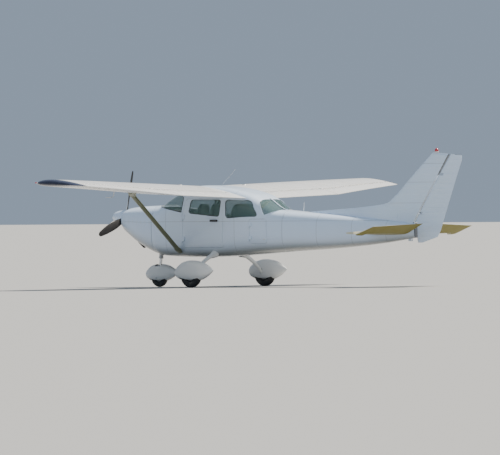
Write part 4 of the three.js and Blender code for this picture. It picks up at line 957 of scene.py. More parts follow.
@dataclass(frozen=True)
class Fuselage:
    """The fuselage's outer form.

    At each station a ring's upper and lower halves are superellipses: the sum of the two
    distances from its middle, each over its half size and raised to a power, is one.
    """

    aft: tuple[float, ...] = (
        0.420, 0.485, 0.620, 0.900, 1.295, 1.400, 1.680, 1.960, 2.120,
        2.450, 3.000, 3.560, 3.760, 4.180, 4.350, 5.400, 6.400, 7.215,
    )
    half: tuple[float, ...] = (
        0.300, 0.392, 0.448, 0.492, 0.526, 0.538, 0.548, 0.556, 0.560,
        0.562, 0.560, 0.540, 0.524, 0.470, 0.446, 0.306, 0.178, 0.084,
    )
    top: tuple[float, ...] = (
        1.500, 1.537, 1.566, 1.592, 1.606, 1.612, 1.755, 1.892, 1.955,
        1.992, 1.945, 1.822, 1.738, 1.502, 1.487, 1.395, 1.305, 1.228,
    )
    bottom: tuple[float, ...] = (
        1.160, 1.080, 0.985, 0.805, 0.642, 0.620, 0.602, 0.592, 0.588,
        0.588, 0.606, 0.640, 0.652, 0.678, 0.690, 0.748, 0.834, 0.945,
    )
    upper: tuple[float, ...] = (
        2.3, 2.6, 3.0, 3.2, 3.4, 3.6, 4.2, 5.0, 6.0, 6.0, 6.0, 5.0, 4.2, 3.6, 3.4, 3.0, 2.8, 2.6,
    )
    lower: tuple[float, ...] = (
        2.2, 2.4, 2.6, 2.8, 3.2, 3.6, 4.2, 4.5, 4.5, 4.5, 4.5, 4.0, 3.6, 3.3, 3.2, 3.0, 2.8, 2.6,
    )

    def sizes(self, aft: Array) -> tuple[Array, Array, Array, Array, Array]:
        """Middle height, half width, half height and both powers at each place aft."""
        top, bottom = smooth_through(aft, self.aft, self.top), smooth_through(aft, self.aft, self.bottom)
        half = smooth_through(aft, self.aft, self.half)
        upper, lower = smooth_through(aft, self.aft, self.upper), smooth_through(aft, self.aft, self.lower)
        return (top + bottom) / 2, half, (top - bottom) / 2, upper, lower

    def point(self, aft: Array, angle: Array, inset: float = 0.0, scale: Array | float = 1.0) -> Array:
        """Points of the form, by the direction in which they lie from the ring's middle.

        Args:
            aft: Distances aft of the spinner's tip.
            angle: Directions from the ring's middle, from the right side upwards.
            inset: How far inside the form.
            scale: Share of the ring's size.

        Returns:
            Points in the broadcast shape of aft and angle, with a last axis of 3.
        """
        middle, half, tall, upper, lower = self.sizes(aft)
        c, s = np.cos(angle), np.sin(angle)
        power = np.where(s >= 0, upper, lower)
        reach = (np.abs(c) / (half - inset)) ** power + (np.abs(s) / (tall - inset)) ** power
        reach = reach ** (-1 / power) * scale
        return np.stack(np.broadcast_arrays(x_at(aft), reach * c, middle + reach * s), -1)

    def side(self, aft: Array, up: Array, inset: float = 0.0) -> Array:
        """Points on the right side, by place aft and height."""
        middle, half, tall, upper, lower = self.sizes(aft)
        away = np.clip(np.abs(up - middle) / (tall - inset), 0, 1)
        power = np.where(up >= middle, upper, lower)
        out = (half - inset) * (1 - away**power) ** (1 / power)
        return np.stack(np.broadcast_arrays(x_at(aft), out, up), -1)

    def patch(self, aft: Pair, degrees: Pair, rows: int, columns: int, inset: float = 0.0) -> Array:
        """A grid of points over a stretch of the form, rows aft and columns upwards from the right side."""
        places = np.linspace(*aft, rows)[:, None]
        angles = np.radians(np.linspace(*degrees, columns))[None, :]
        return self.point(places, angles, inset)

    def girdle(self, aft: Pair, rows: int, columns: int, inset: float = 0.0) -> Array:
        """A grid of points right round a stretch of the form."""
        return self.point(np.linspace(*aft, rows)[:, None], full_turn(columns)[None, :], inset)

    def disc(self, aft: float, rows: int, columns: int, inset: float) -> Array:
        """A grid of points over a cut across the form, rows inwards from its edge."""
        share = np.linspace(0.02, 1, rows)[:, None]
        return self.point(np.full((rows, 1), aft), full_turn(columns)[None, :], inset, share)[::-1]


FORM = Fuselage()


@dataclass(frozen=True)
class Hinges:
    """Two hinges of a door: their pin aft and out, their middles' heights, and the door's leaves."""

    aft: float
    out: float
    ups: Pair
    tall: float
    reach: float

    def _knuckle(self, low: float, high: float, reach: float) -> list[Solid]:
        """One half of a hinge: a rounded barrel with a leaf that reaches to one side of it."""
        path = np.linspace((0, 0, low), (0, 0, high), 5) + np.array([x_at(self.aft), self.out, 0])
        ends = sorted((x_at(self.aft), x_at(self.aft + reach)))
        leaf = slab((ends[0], self.out - 0.022, low), (ends[1], self.out + 0.002, high), 0.002, 12)
        return [tube(path, 0.0085, 20), leaf]

    def fixed(self) -> list[Solid]:
        """The body's halves, under the door's own."""
        return [part for up in self.ups for part in self._knuckle(up - 0.032, up - 0.0004, -0.036)]

    def moving(self) -> list[Solid]:
        """The door's halves."""
        return [part for up in self.ups for part in self._knuckle(up, up + self.tall, self.reach)]


@dataclass
class Cabin:
    """The cabin: its skin, lining, floor, doors, panes and their seals."""

    front: float = 1.3030
    rear: float = 4.3490
    wall: float = 0.036
    door_gap: float = 0.0045
    bedding: float = 0.007
    pane: float = 0.006
    pane_inset: float = 0.004
    strip: float = 0.006
    proud: float = 0.001
    lining: float = 0.003
    lining_less: float = 0.012
    door_aft: Pair = (2.05, 3.055)
    door_degrees: Pair = (-48, 46)
    sill_middle: float = 1.116
    floor_raise: float = 0.058
    door: Outline = Outline(
        ((2.073, 0.775), (3.030, 0.775), (3.030, 1.736), (2.176, 1.736), (2.073, 1.440)), 0.055
    )
    baggage: Outline = Outline(((3.645, 0.850), (4.022, 0.850), (4.022, 1.330), (3.645, 1.330)), 0.045)
    door_window: Outline = Outline(((2.218, 1.450), (2.943, 1.378), (2.998, 1.708), (2.290, 1.712)), 0.060)
    side_window: Outline = Outline(((3.102, 1.350), (3.835, 1.380), (3.665, 1.692), (3.102, 1.706)), 0.075)
    windshield: Outline = Outline(
        ((1.392, 1.598), (2.045, 1.467), (2.107, 1.750), (1.965, 1.868), (1.965, 2.100), (1.392, 2.100)),
        0.030,
    )
    rear_window: Outline = Outline(
        ((3.807, 2.000), (3.807, 1.665), (3.965, 1.392), (4.175, 1.484), (4.190, 2.000)), 0.045
    )
    door_hinges: Hinges = Hinges(2.073 - 0.002, 0.573, (0.900, 1.330), 0.090, 0.052)
    baggage_hinges: Hinges = Hinges(3.645 - 0.002, 0.546, (0.930, 1.180), 0.070, 0.055)

    def build(self) -> None:
        """Builds every piece of the cabin."""
        self._skin()
        self._lining()
        for side in Side:
            self._door(side)
            self._side_pane(side)
        self._baggage_door()
        self._windshield()
        self._rear_window()

    def _openings(self) -> list[Outline]:
        """The openings on both sides."""
        return [self.door, self.side_window, self.windshield, self.rear_window]

    def _skin(self) -> None:
        """The painted wall, cut for the doors and windows."""

        def level(points: Array) -> Array:
            """Distance from the nearest opening, the baggage door's on the left only."""
            on_left = np.where(points[:, 1] < 0, -9.0, 9.0)
            baggage = np.maximum(self.baggage.distance(*aft_up(points)), on_left)
            return np.minimum(beyond(self._openings(), 0)(points), baggage)

        pieces = [shell(FORM.girdle((self.front, self.rear), 150, 232), self.wall, level, around=True)]
        for side in Side:
            pieces += [part.on(side) for part in self.door_hinges.fixed()]
        pieces += [part.on(Side.LEFT) for part in self.baggage_hinges.fixed()]
        put("cabin_skin", joined(pieces), BODY_PAINT, Slot.SKIN, "cabin_shell")

    def _lining(self) -> None:
        """The cabin's inner lining, its carpeted floor and the bulkhead behind the baggage space."""
        grid = FORM.girdle((self.front + 0.01, self.rear - 0.06), 110, 160, self.wall + 0.0035)
        lining = shell(grid, self.lining, beyond(self._openings(), self.lining_less), around=True)
        put("cabin_lining", lining, LINING, Slot.PANEL)
        disc = FORM.disc(self.rear - 0.05, 9, 60, self.wall + 0.002)
        put("rear_bulkhead", shell(disc, 0.008, around=True), LINING, Slot.PANEL)
        places = np.linspace(self.front + 0.05, self.rear - 0.1, 90)
        across, along = np.meshgrid(np.linspace(-0.36, 0.36, 30), places)
        width = np.interp(along, FORM.aft, FORM.half) / FORM.half[9]
        floor_up = smooth_through(along, FORM.aft, FORM.bottom) + self.floor_raise
        floor = xyz(x_at(along), -across * width, floor_up)
        put("cabin_floor", shell(floor, 0.012), CARPET, Slot.PANEL)

    def _door(self, side: Side) -> None:
        """A door: its wall, lining, pane, seal and its halves of the hinges."""
        word, body, span = side.word, f"{side.word}_door", (self.door_aft, self.door_degrees)
        inside, clear = within(self.door, -self.door_gap), beyond([self.door_window], 0)

        def level(points: Array, less: float = 0.0) -> Array:
            """Inside the door's outline and outside its window's, drawn in all round by less."""
            return np.minimum(inside(points), clear(points)) - less

        door = joined([shell(FORM.patch(*span, 84, 98), self.wall, level), *self.door_hinges.moving()])
        put(f"door_skin_{word}", door.on(side), BODY_PAINT, Slot.SKIN, f"door_{word}", body=body)
        inner = FORM.patch(*span, 60, 62, self.wall + 0.0005)
        rest = np.array([[2.30, 2.40, 2.62, 2.72], [1.06, 1.09, 1.09, 1.06]])
        arm = tube(FORM.side(*rest, self.wall + 0.028), np.array([0.012, 0.02, 0.02, 0.012]), 14)
        lining = joined([shell(inner, 0.004, lambda points: level(points, self.lining_less)), arm])
        put(f"door_lining_{word}", lining.on(side), LINING, Slot.PANEL, body=body)
        self._pane(f"door_pane_{word}", self.door_window, side, body, f"door_window_{word}")

    def _pane(self, name: str, outline: Outline, side: Side, body: str, node: str) -> None:
        """A side window's pane, a little under the skin round it, with the seal round its edge."""
        afts = [aft for aft, _ in outline.corners]
        grid = FORM.patch((min(afts) - 0.03, max(afts) + 0.03), (0, 47), 60, 62, self.pane_inset)
        put(name, shell(grid, 0.005, within(outline, 0.006)).on(side), GLASS, Slot.GLASS, node, body=body)
        seal = tube(FORM.side(*outline.path().T, 0.001), 0.0055, 10, closed=True)
        put(name.replace("pane", "seal"), seal.on(side), SEAL, Slot.PANEL, body=body)

    def _side_pane(self, side: Side) -> None:
        """The fixed window behind each door."""
        word = side.word
        self._pane(f"side_pane_{word}", self.side_window, side, "airframe", f"side_window_{word}")

    def _baggage_door(self) -> None:
        """The baggage door on the left, with its two hinges and a latch."""
        body = "baggage_hatch"
        grid = FORM.patch((3.62, 4.05), (-50, 30), 44, 60)
        wall = shell(grid, self.wall, within(self.baggage, -self.door_gap))
        door = joined([wall, *self.baggage_hinges.moving()]).on(Side.LEFT)
        put("baggage_door_skin", door, BODY_PAINT, Slot.SKIN, "baggage_door", body=body)
        profile = [[0.0005, 0.004], [0.012, 0.004], [0.014, 0.002], [0.014, -0.004], [0.0005, -0.004]]
        latch = lathed(np.array(profile), 32, ACROSS, FORM.side(np.array(3.970), np.array(0.930)))
        put("baggage_latch", latch.on(Side.LEFT), CHALK, Slot.RIM, body=body)

    def _windshield(self) -> None:
        """The windscreen, bent round the cabin's front, with the strip that frames it."""
        grid = FORM.patch((1.375, 2.125), (12, 168), 80, 200, self.pane_inset)
        pane = shell(grid, self.pane, within(self.windshield, self.bedding))
        put("windshield_pane", pane, GLASS, Slot.GLASS, "windshield")
        (front, front_up), (rear, rear_up), (_, post_up), (_, brow_up) = self.windshield.corners[:4]
        aft = np.linspace(rear, front + 0.008, 30)
        sill = FORM.side(aft, np.interp(aft, (front, rear), (front_up, rear_up)), -self.proud)
        start = math.atan2(sill[-1, 2] - self.sill_middle, sill[-1, 1])
        brow = FORM.point(np.full(40, front), np.linspace(start, math.pi - start, 40), -self.proud)
        strip = np.concatenate([sill, brow[1:-1], (sill * np.array([1, -1, 1]))[::-1]])
        put("windshield_strip", tube(strip, self.strip, 10), SEAL, Slot.PANEL)
        ups = np.linspace(rear_up, brow_up, 24)
        aft = np.interp(ups, (rear_up, post_up, brow_up), [a for a, _ in self.windshield.corners[1:4]])
        post = tube(FORM.side(aft, ups, -self.proud), 0.005, 10)
        for side in Side:
            put(f"windshield_seal_{side.word}", post.on(side), SEAL, Slot.PANEL)

    def _rear_window(self) -> None:
        """The wrapped rear window, with its painted frame and a strip down its middle."""
        grid = FORM.patch((3.77, 4.22), (8, 172), 60, 190, self.pane_inset)
        pane = shell(grid, self.pane, within(self.rear_window, self.bedding))
        put("rear_pane", pane, GLASS, Slot.GLASS, "rear_window")
        corner = self.rear_window.corners
        outline = np.array([[3.807, 1.700], *corner[1:4]])
        steps = np.concatenate([[0], np.cumsum(np.linalg.norm(np.diff(outline, axis=0), axis=1))])
        place = np.linspace(0, 1, 60) * steps[-1]
        aft, up = (np.interp(place, steps, outline[:, k]) for k in range(2))
        strip = tube(FORM.side(aft, np.minimum(up, 1.70), -self.proud), self.strip, 10)
        for side in Side:
            put(f"rear_strip_{side.word}", strip.on(side), PLAIN_PAINT, Slot.SKIN)
        run = np.linspace(corner[0][0] - 0.03, corner[3][0] + 0.01, 30)
        middle = FORM.point(run[:, None], math.pi / 2 + np.array([[-0.030, 0.030]]), -0.004)
        put("rear_middle_strip", shell(middle[:, ::-1], 0.006), PLAIN_PAINT, Slot.SKIN)


@dataclass
class Nose:
    """Cowlings, inlets, firewall and propeller."""

    front: float = 0.420
    rear: float = 1.2935
    lip: float = 0.030
    wall: float = 0.007
    split: Pair = (1.3171, 0.0367)
    inlet: tuple[float, float, float, float] = (0.238, 1.372, 0.052, 0.066)
    chin: tuple[float, float, float] = (1.108, 0.150, 0.046)
    shaft_up: float = 1.359
    shaft_radius: float = 0.108
    face: float = 0.8
    stud_aft: float = 1.272
    stud_aside: float = 0.020
    stud_degrees: tuple[float, ...] = (-80, -65, -50, -35, -20, 12, 26, 40, 56, 72, 88)
    duct_depths: tuple[float, ...] = (0.006, 0.05, 0.11, 0.17)
    duct_sizes: tuple[float, ...] = (1.0, 0.97, 1.05, 1.2)
    firewall: float = 1.2955

    def build(self) -> None:
        """Builds every piece of the nose."""
        self._cowls()
        self._firewall()
        self._inlets()
        Propeller().build()

    def _grid(self) -> Array:
        """The whole cowling: a rounded front face, then the fuselage's own form.

        The face's rings are the ring one lip aft of the front, shrunk towards its middle, and
        lie forward of it by a quarter circle over the outer fifth of its size.
        """
        outer = self.face + (1 - self.face) * np.sin(np.linspace(0.1, math.pi / 2, 10))
        share = np.concatenate([np.linspace(0.10, self.face, 16), outer])
        bend = np.clip((share - self.face) / (1 - self.face), 0, 1)
        face_aft = self.front + self.lip * (1 - np.sqrt(1 - bend**2))
        angle = full_turn(240)[None, :]
        ring = FORM.point(np.full((len(share), 1), self.front + self.lip), angle, 0.0, share[:, None])
        ring[..., 0] = x_at(face_aft)[:, None]
        behind = np.linspace(self.front + self.lip + 0.006, 0.62, 16)
        aft = np.concatenate([behind, np.linspace(0.64, self.rear, 36)])
        return np.concatenate([ring, FORM.point(aft[:, None], angle)])

    def _openings(self, points: Array) -> Array:
        """Distance from the nearest of the inlets and the shaft's hole."""
        aft, up = aft_up(points)
        out = np.abs(points[:, 1])
        y, z, wide, tall = self.inlet
        inlet = (np.hypot((out - y) / wide, (up - z) / tall) - 1) * min(wide, tall)
        z, wide, tall = self.chin
        chin = (np.hypot(out / wide, (up - z) / tall) - 1) * tall
        shaft = np.hypot(points[:, 1], up - self.shaft_up) - self.shaft_radius
        near = np.where(aft < 0.60, -9.0, 9.0)
        return np.min([np.maximum(part, near) for part in (inlet, chin, shaft)], axis=0)

    def _cowls(self) -> None:
        """The two halves, parted along their line."""
        grid = self._grid()
        start, slope = self.split

        def level(points: Array, sign: int) -> Array:
            """Above or below the line, and clear of the openings."""
            aft, up = aft_up(points)
            above = sign * (up - (start - slope * aft)) - 0.0014
            return np.minimum(above, self._openings(points))

        for name, sign, node in (("cowl_top", 1, "cowl_upper"), ("cowl_belly", -1, "cowl_lower")):
            half = shell(grid, self.wall, lambda p, s=sign: level(p, s), around=True)
            put(name, half, COWL_PAINT, Slot.SKIN, node)
        self._fasteners()

    def _fasteners(self) -> None:
        """Round quarter-turn studs along the split and down the cowling's rear edge."""
        start, slope = self.split
        aft = np.linspace(0.50, 1.24, 8)
        lines = [FORM.side(aft, start - slope * aft + away) for away in (self.stud_aside, -self.stud_aside)]
        angles = np.radians(np.array(self.stud_degrees))
        rear = FORM.point(np.full(len(angles), self.stud_aft), angles)
        steps, radii = np.array([-0.002, 0.0005, 0.0012, 0.0016]), np.array([0.0085, 0.0085, 0.007, 0.002])
        heads = []
        for spot in np.concatenate([*lines, rear]):
            out = np.array([0, spot[1], spot[2] - 1.15])
            out /= np.linalg.norm(out)
            head = tube(spot + out * steps[:, None], radii, 14)
            heads += [head, head.mirrored()]
        put("cowl_fasteners", joined(heads), CHALK, Slot.RIM)

    def _firewall(self) -> None:
        """The firewall's sheet, a hair smaller than the skins either side of it."""
        disc = FORM.disc(self.firewall, 14, 120, 0.010)
        put("firewall_sheet", shell(disc, 0.0075, around=True), STEEL, Slot.FIREWALL, "firewall")

    def _inlets(self) -> None:
        """The rolled lips and dark ducts of the inlets."""
        c, s = circle(64)
        y, z, wide, tall = self.inlet
        depth, grow = np.array(self.duct_depths)[:, None], np.array(self.duct_sizes)[:, None]
        rings = xyz(x_at(self.front + self.lip * 0.3 + depth), y + wide * grow * c, z + tall * grow * s)
        duct = shell(rings[:, ::-1], 0.002, around=True)
        put("inlet_ducts", joined([duct, duct.mirrored()]), DARK, Slot.PANEL)
        lips = []
        for (y, z, wide, tall), sides in ((self.inlet, Side), ((0.0, *self.chin), (Side.RIGHT,))):
            out, up = y + wide * c, z + tall * s
            lip = tube(xyz(self._face_x(out, up), out, up), 0.0065, 12, closed=True)
            lips += [lip.on(side) for side in sides]
        put("inlet_lips", joined(lips), COWL_PAINT, Slot.SKIN)

    def _face_x(self, out: Array, up: Array) -> Array:
        """X of the cowling's surface where a line straight aft first meets it.

        It is found by trying places in rising order of distance aft, and taking the first whose
        ring is as big as the point's own distance from its middle.
        """
        aft = np.linspace(self.front, 0.9, 400)[:, None]
        size_aft = np.maximum(aft, self.front + self.lip)
        middle, half, tall, upper, lower = FORM.sizes(size_aft)
        power = np.where(up >= middle, upper, lower)
        share = ((np.abs(out) / half) ** power + (np.abs(up - middle) / tall) ** power) ** (1 / power)
        bend = np.clip((share - self.face) / (1 - self.face), 0, 1)
        face = self.front + self.lip * (1 - np.sqrt(np.maximum(1 - bend**2, 0)))
        met = (share <= 1) & (aft >= np.minimum(face, self.front + self.lip))
        return x_at(aft[np.argmax(met, axis=0), 0])


@dataclass
class Propeller:
    """Three blades, hub and spinner, on a line raised by the parked attitude."""

    aft: float = 0.312
    up: float = 1.367
    raised: float = 4.5
    rest: float = 9.0
    blades: int = 3
    out: tuple[float, ...] = (0.060, 0.150, 0.230, 0.420, 0.640, 0.830, 0.905, 0.940)
    chord: tuple[float, ...] = (0.088, 0.100, 0.128, 0.162, 0.150, 0.112, 0.086, 0.036)
    thick: tuple[float, ...] = (0.070, 0.052, 0.034, 0.022, 0.014, 0.009, 0.0075, 0.006)
    pitch: tuple[float, ...] = (42, 38, 34, 26, 20, 16, 15, 14)
    spinner_radius: float = 0.152
    spinner_depth: float = 0.377

    def _placed(self, solid: Solid) -> Solid:
        """A solid made about the origin, tilted and set on the shaft."""
        return solid.moved(slant(self.raised), (x_at(self.aft), 0, self.up))

    def build(self) -> None:
        """Builds the blades, the hub and the spinner."""
        self._blades()
        barrel = [[0.03, 0.085, 0.092, 0.092, 0.085, 0.03], [-0.07, -0.07, -0.055, 0.055, 0.074, 0.074]]
        plate = [[0.03, 0.149, 0.1515, 0.1515, 0.149, 0.03], [0.0655, 0.0655, 0.068, 0.071, 0.0735, 0.0735]]
        hub = joined([lathe(np.array(barrel).T, 64), lathe(np.array(plate).T, 96)])
        put("propeller_hub", self._placed(hub), CHALK, Slot.BLADE, body="propeller_group")
        t = np.linspace(0, 1, 34)[1:]
        outer = np.stack([self._spinner_radius_at(t), self.spinner_depth * (t - 1)], -1)
        inner = np.stack([np.maximum(outer[:, 0] - 0.003, 0.0004), outer[:, 1] + 0.002], -1)[::-1]
        inner[0, 1] = outer[-1, 1]
        profile = np.concatenate([outer, inner]) + np.array([0, 0.0645])
        tip = np.array([[0.0003, profile[0, 1] - 0.0006]])
        spinner = lathe(np.concatenate([tip, profile]), 96)
        put("spinner_skin", self._placed(spinner), PLAIN_PAINT, Slot.SKIN, "spinner", body="propeller_group")

    def _spinner_radius_at(self, share: Array) -> Array:
        """The spinner's radius at a share of its depth from the tip: a blunt ogive."""
        return self.spinner_radius * np.sqrt(1 - (1 - share) ** 2.1)

    def _blades(self) -> None:
        """The blades: smooth lofts of thin aerofoils, twisted, each marked along its leading edge.

        A section's points go round from the trailing edge over the back: across is half the chord
        times the cosine, and thickness is the half thickness times the sine, fuller towards the
        leading edge. The twist turns across into along.
        """
        rows, columns = 60, 40
        out = np.linspace(self.out[0], self.out[-1], rows)
        chord = smooth_through(out, self.out, self.chord)[:, None]
        thick = smooth_through(out, self.out, self.thick)[:, None]
        turn = np.radians(smooth_through(out, self.out, self.pitch))[:, None]
        around = full_turn(columns)[None, :]
        u = np.cos(around) * chord / 2
        v = np.sin(around) * thick / 2 * (1 + 0.25 * np.cos(around))
        across = u * np.cos(turn) + v * np.sin(turn)
        along = -u * np.sin(turn) + v * np.cos(turn)
        ring = xyz(along, across, out[:, None])
        wear = np.interp(out, (0.20, 0.34, 0.55, 0.90), (0.0, 1.0, 0.92, 0.62))[:, None]
        lead = np.clip((np.cos(around) - 0.2) / 0.8, 0, 1) * wear
        blades = []
        for number in range(self.blades):
            angle = -math.radians(self.rest + 360 / self.blades * number)
            c, s = math.cos(angle), math.sin(angle)
            turn_x = np.array([[1, 0, 0], [0, c, -s], [0, s, c]])
            blades.append(loft(ring @ turn_x.T))
        whole = self._placed(joined(blades))
        piece = put("propeller_blades", whole, BLADE, Slot.BLADE, "propeller", body="propeller_group")
        mark = piece.data.attributes.new("lead", "FLOAT", "POINT")
        values = np.concatenate([lead.ravel(), [0.0, 0.0]])
        mark.data.foreach_set("value", np.tile(values, self.blades).astype(np.float32))


@dataclass
class TailCone:
    """The rear fuselage with its tie-down eye."""

    front: float = 4.3515
    rear: float = 7.2145
    wall: float = 0.005
    eye_aft: Pair = (7.030, 7.130)
    eye_up: Pair = (0.880, 0.965)
    eye_out: Pair = (-0.006, 0.006)
    eye_middle: Pair = (7.104, 0.904)
    eye_radius: float = 0.013

    def build(self) -> None:
        """Builds the cone's wall, its closed rear end and the eye."""
        aft = np.linspace(self.front, self.rear, 120)[:, None]
        angle = full_turn(150)[None, :]
        body = FORM.point(aft, angle)
        share = np.linspace(0.98, 0.03, 10)[:, None]
        end = FORM.point(np.full((10, 1), self.rear), angle, 0.0, share)
        end[..., 0] += 0.0004
        cone = shell(np.concatenate([body, end]), self.wall, around=True)
        eye = eye_plate(self.eye_aft, self.eye_up, self.eye_out, self.eye_middle, self.eye_radius)
        put("tail_cone", joined([cone, eye]), BODY_PAINT, Slot.SKIN, "tailcone")


def eye_plate(aft: Pair, up: Pair, out: Pair, eye: Pair, radius: float) -> Solid:
    """A flat plate with a round eye.

    Four rings make it: the plate's rounded edge and the eye's edge on one face, then on the other.
    Each edge point lies in the direction of its partner in the eye, so that the cells stay square.

    Args:
        aft: Front and rear of the plate.
        up: Its bottom and top.
        out: Its two faces.
        eye: The eye's middle, aft and up.
        radius: The eye's radius.

    Returns:
        The plate as a closed solid.
    """
    c, s = circle(72)
    reach = 0.0
    for part, span, middle in ((c, aft, eye[0]), (s, up, eye[1])):
        room = np.where(part > 0, span[1] - middle, middle - span[0])
        reach = reach + (room / np.maximum(np.abs(part), 1e-6)) ** -9.0
    reach = reach ** (-1 / 9.0)

    def edge(size: Array | float, face: float) -> Array:
        """The points at a distance from the eye's middle, on one face."""
        return xyz(x_at(eye[0] + size * c), face, eye[1] + size * s)

    near, far = out
    rings = [edge(reach, near), edge(radius, near), edge(radius, far), edge(reach, far)]
    return turned_ring(np.array(rings))


# Wings and tail


@dataclass(frozen=True)
class Section:
    """An aerofoil: camber, where the camber is greatest, and thickness, in chords."""

    camber: float
    crest: float
    thick: float

    def heights(self, at: Array) -> tuple[Array, Array]:
        """Camber line and half thickness at a fraction of the chord.

        The half thickness is the usual four-digit polynomial, and the line is two parabolas that
        meet at the crest.
        """
        at = np.asarray(at, float)
        spread = 0.2969 * np.sqrt(np.maximum(at, 0)) - 0.126 * at - 0.3516 * at**2
        spread = spread + 0.2843 * at**3 - 0.1015 * at**4
        ahead = self.camber / self.crest**2 * (2 * self.crest * at - at**2)
        behind = self.camber / (1 - self.crest) ** 2 * (1 - 2 * self.crest + 2 * self.crest * at - at**2)
        return np.where(at < self.crest, ahead, behind), 5 * self.thick * spread + 0.0012 * at


@dataclass(frozen=True)
class Planform:
    """Sections along a surface: distance out, leading edge aft and up, chord, and nose-up angle."""

    out: tuple[float, ...]
    aft: tuple[float, ...]
    up: tuple[float, ...]
    chord: tuple[float, ...]
    raised: tuple[float, ...]

    def chord_at(self, out: Array) -> Array:
        """The chord at a distance out."""
        return np.interp(out, self.out, self.chord)

    def point(self, out: Array, at: Array, height: Array) -> Array:
        """Points by distance out, fraction of chord, and height in chords.

        The chord line falls aft by the nose-up angle, and heights stand square to it.
        """
        out, at, height = np.broadcast_arrays(out, at, height)
        turn = np.radians(np.interp(out, self.out, self.raised))
        chord = self.chord_at(out)
        aft = np.interp(out, self.out, self.aft) + chord * (at * np.cos(turn) + height * np.sin(turn))
        up = np.interp(out, self.out, self.up) + chord * (height * np.cos(turn) - at * np.sin(turn))
        return np.stack([x_at(aft), out, up], -1)


WING = Planform(
    out=(0.470, 2.700, 5.420),
    aft=(1.930, 1.932, 2.075),
    up=(1.905, 1.971, 2.054),
    chord=(1.630, 1.630, 1.120),
    raised=(6.0, 6.0, 3.0),
)
WING_SECTION = Section(0.02, 0.4, 0.12)
TAILPLANE = Planform((0.0, 1.725), (6.250, 6.735), (1.050, 1.050), (1.310, 0.658), (0.0, 0.0))
TAIL_SECTION = Section(0.0, 0.4, 0.072)


@dataclass(frozen=True)
class Beads:
    """Pressed ridges across a control surface: how far apart, how wide and how high."""

    pitch: float = 0.088
    width: float = 0.013
    height: float = 0.0026

    def rise(self, along: Array) -> Array:
        """Height of the skin: a raised cosine within half a width of each ridge's middle."""
        away = np.abs((along / self.pitch) % 1 - 0.5) * self.pitch
        return self.height * 0.5 * (1 + np.cos(math.pi * np.clip(away / (self.width / 2), 0, 1)))


@dataclass(frozen=True)
class Notches:
    """Notches in a moving surface's front edge: their middles, half width and depth."""

    middles: tuple[float, ...] = ()
    half: float = 0.0
    depth: float = 0.0

    def rows(self, low: float, high: float, step: float) -> Array:
        """Even places from low to high, and one just inside and outside each notch's sides."""
        even = np.linspace(low, high, int((high - low) / step))
        edges = [m + s * (self.half + e) for m in self.middles for s in (-1, 1) for e in (0, 3e-4)]
        return np.unique(np.concatenate([even, edges]))

    def set_back(self, along: Array) -> Array:
        """The depth at places within a notch, and nought between them."""
        inside = [np.abs(along - middle) < self.half + 1e-4 for middle in self.middles]
        return self.depth * np.any([np.zeros(along.shape, bool), *inside], axis=0)


@dataclass(frozen=True)
class Flap:
    """A hinged surface's section: round nose at its hinge, then the parent section to its rear edge."""

    planform: Planform
    section: Section
    hinge: Callable[[Array], Array]
    less: float
    notches: Notches = Notches()
    beads: Beads = Beads()

    def nose(self, out: Array) -> Array:
        """The round nose's radius, in chords."""
        _, half = self.section.heights(self.hinge(out))
        return half - self.less / self.planform.chord_at(out)

    def solid(self, inner: Callable[[Array], Array], outer: float, step: float = 0.0075) -> Solid:
        """The whole surface between an inner edge, which may slant, and an outer one.

        Round the nose the half thickness is a circle's. Aft of the hinge it grows in a straight
        line to the parent section's, and follows that to the rear edge. Ridges stand on both
        sides between the shoulder and the rear edge. In a notch the chord fractions are squeezed
        towards the rear edge, so that the section starts the notch's depth further aft.

        Args:
            inner: Distance out of the inner edge, by fraction of the chord.
            outer: Distance out of the outer edge.
            step: Spacing of the rings.

        Returns:
            The surface as a closed solid.
        """
        nose_turn = np.linspace(0, math.pi / 2, 9)[1:]
        tail = np.linspace(0, 1, 12)[1:]
        start = float(inner(np.array(0.7)))
        out_guess = self.notches.rows(start, outer, step)[:, None]
        v = (out_guess - start) / (outer - start)
        hinge, r = self.hinge(out_guess), self.nose(out_guess)
        shoulder = hinge + np.minimum(1.3 * r, 0.05)
        x_nose = hinge - r * np.cos(nose_turn)[None, :]
        half_nose = r * np.sin(nose_turn)[None, :]
        x_tail = hinge + (1 - hinge) * tail[None, :] ** 1.25
        _, parent = self.section.heights(x_tail)
        _, parent_shoulder = self.section.heights(shoulder)
        ramp = r + (parent_shoulder - r) * (x_tail - hinge) / (shoulder - hinge)
        half_tail = np.where(x_tail < shoulder, ramp, parent)
        x = np.concatenate([x_nose, x_tail], axis=1)
        half = np.concatenate([half_nose, half_tail], axis=1)
        tip = hinge - r
        back = self.notches.set_back(out_guess) / self.planform.chord_at(out_guess)
        _, before = self.section.heights(x)
        x = x + back * (1 - x) / (1 - tip)
        _, behind = self.section.heights(x)
        half = half * behind / before
        out = inner(x) + v * (outer - inner(x))
        chord = self.planform.chord_at(out)
        ridge = self.beads.rise(out) / chord
        fade = np.clip((x - shoulder) / 0.02, 0, 1) * np.clip((0.985 - x) / 0.03, 0, 1)
        half = half + ridge * fade
        line, _ = self.section.heights(x)
        top = self.planform.point(out, x, line + half)
        bottom = self.planform.point(out, x, line - half)
        tip_line, _ = self.section.heights(tip + back)
        front = self.planform.point(out_guess, tip + back, tip_line)
        return loft(np.concatenate([top[:, ::-1], front, bottom], axis=1))


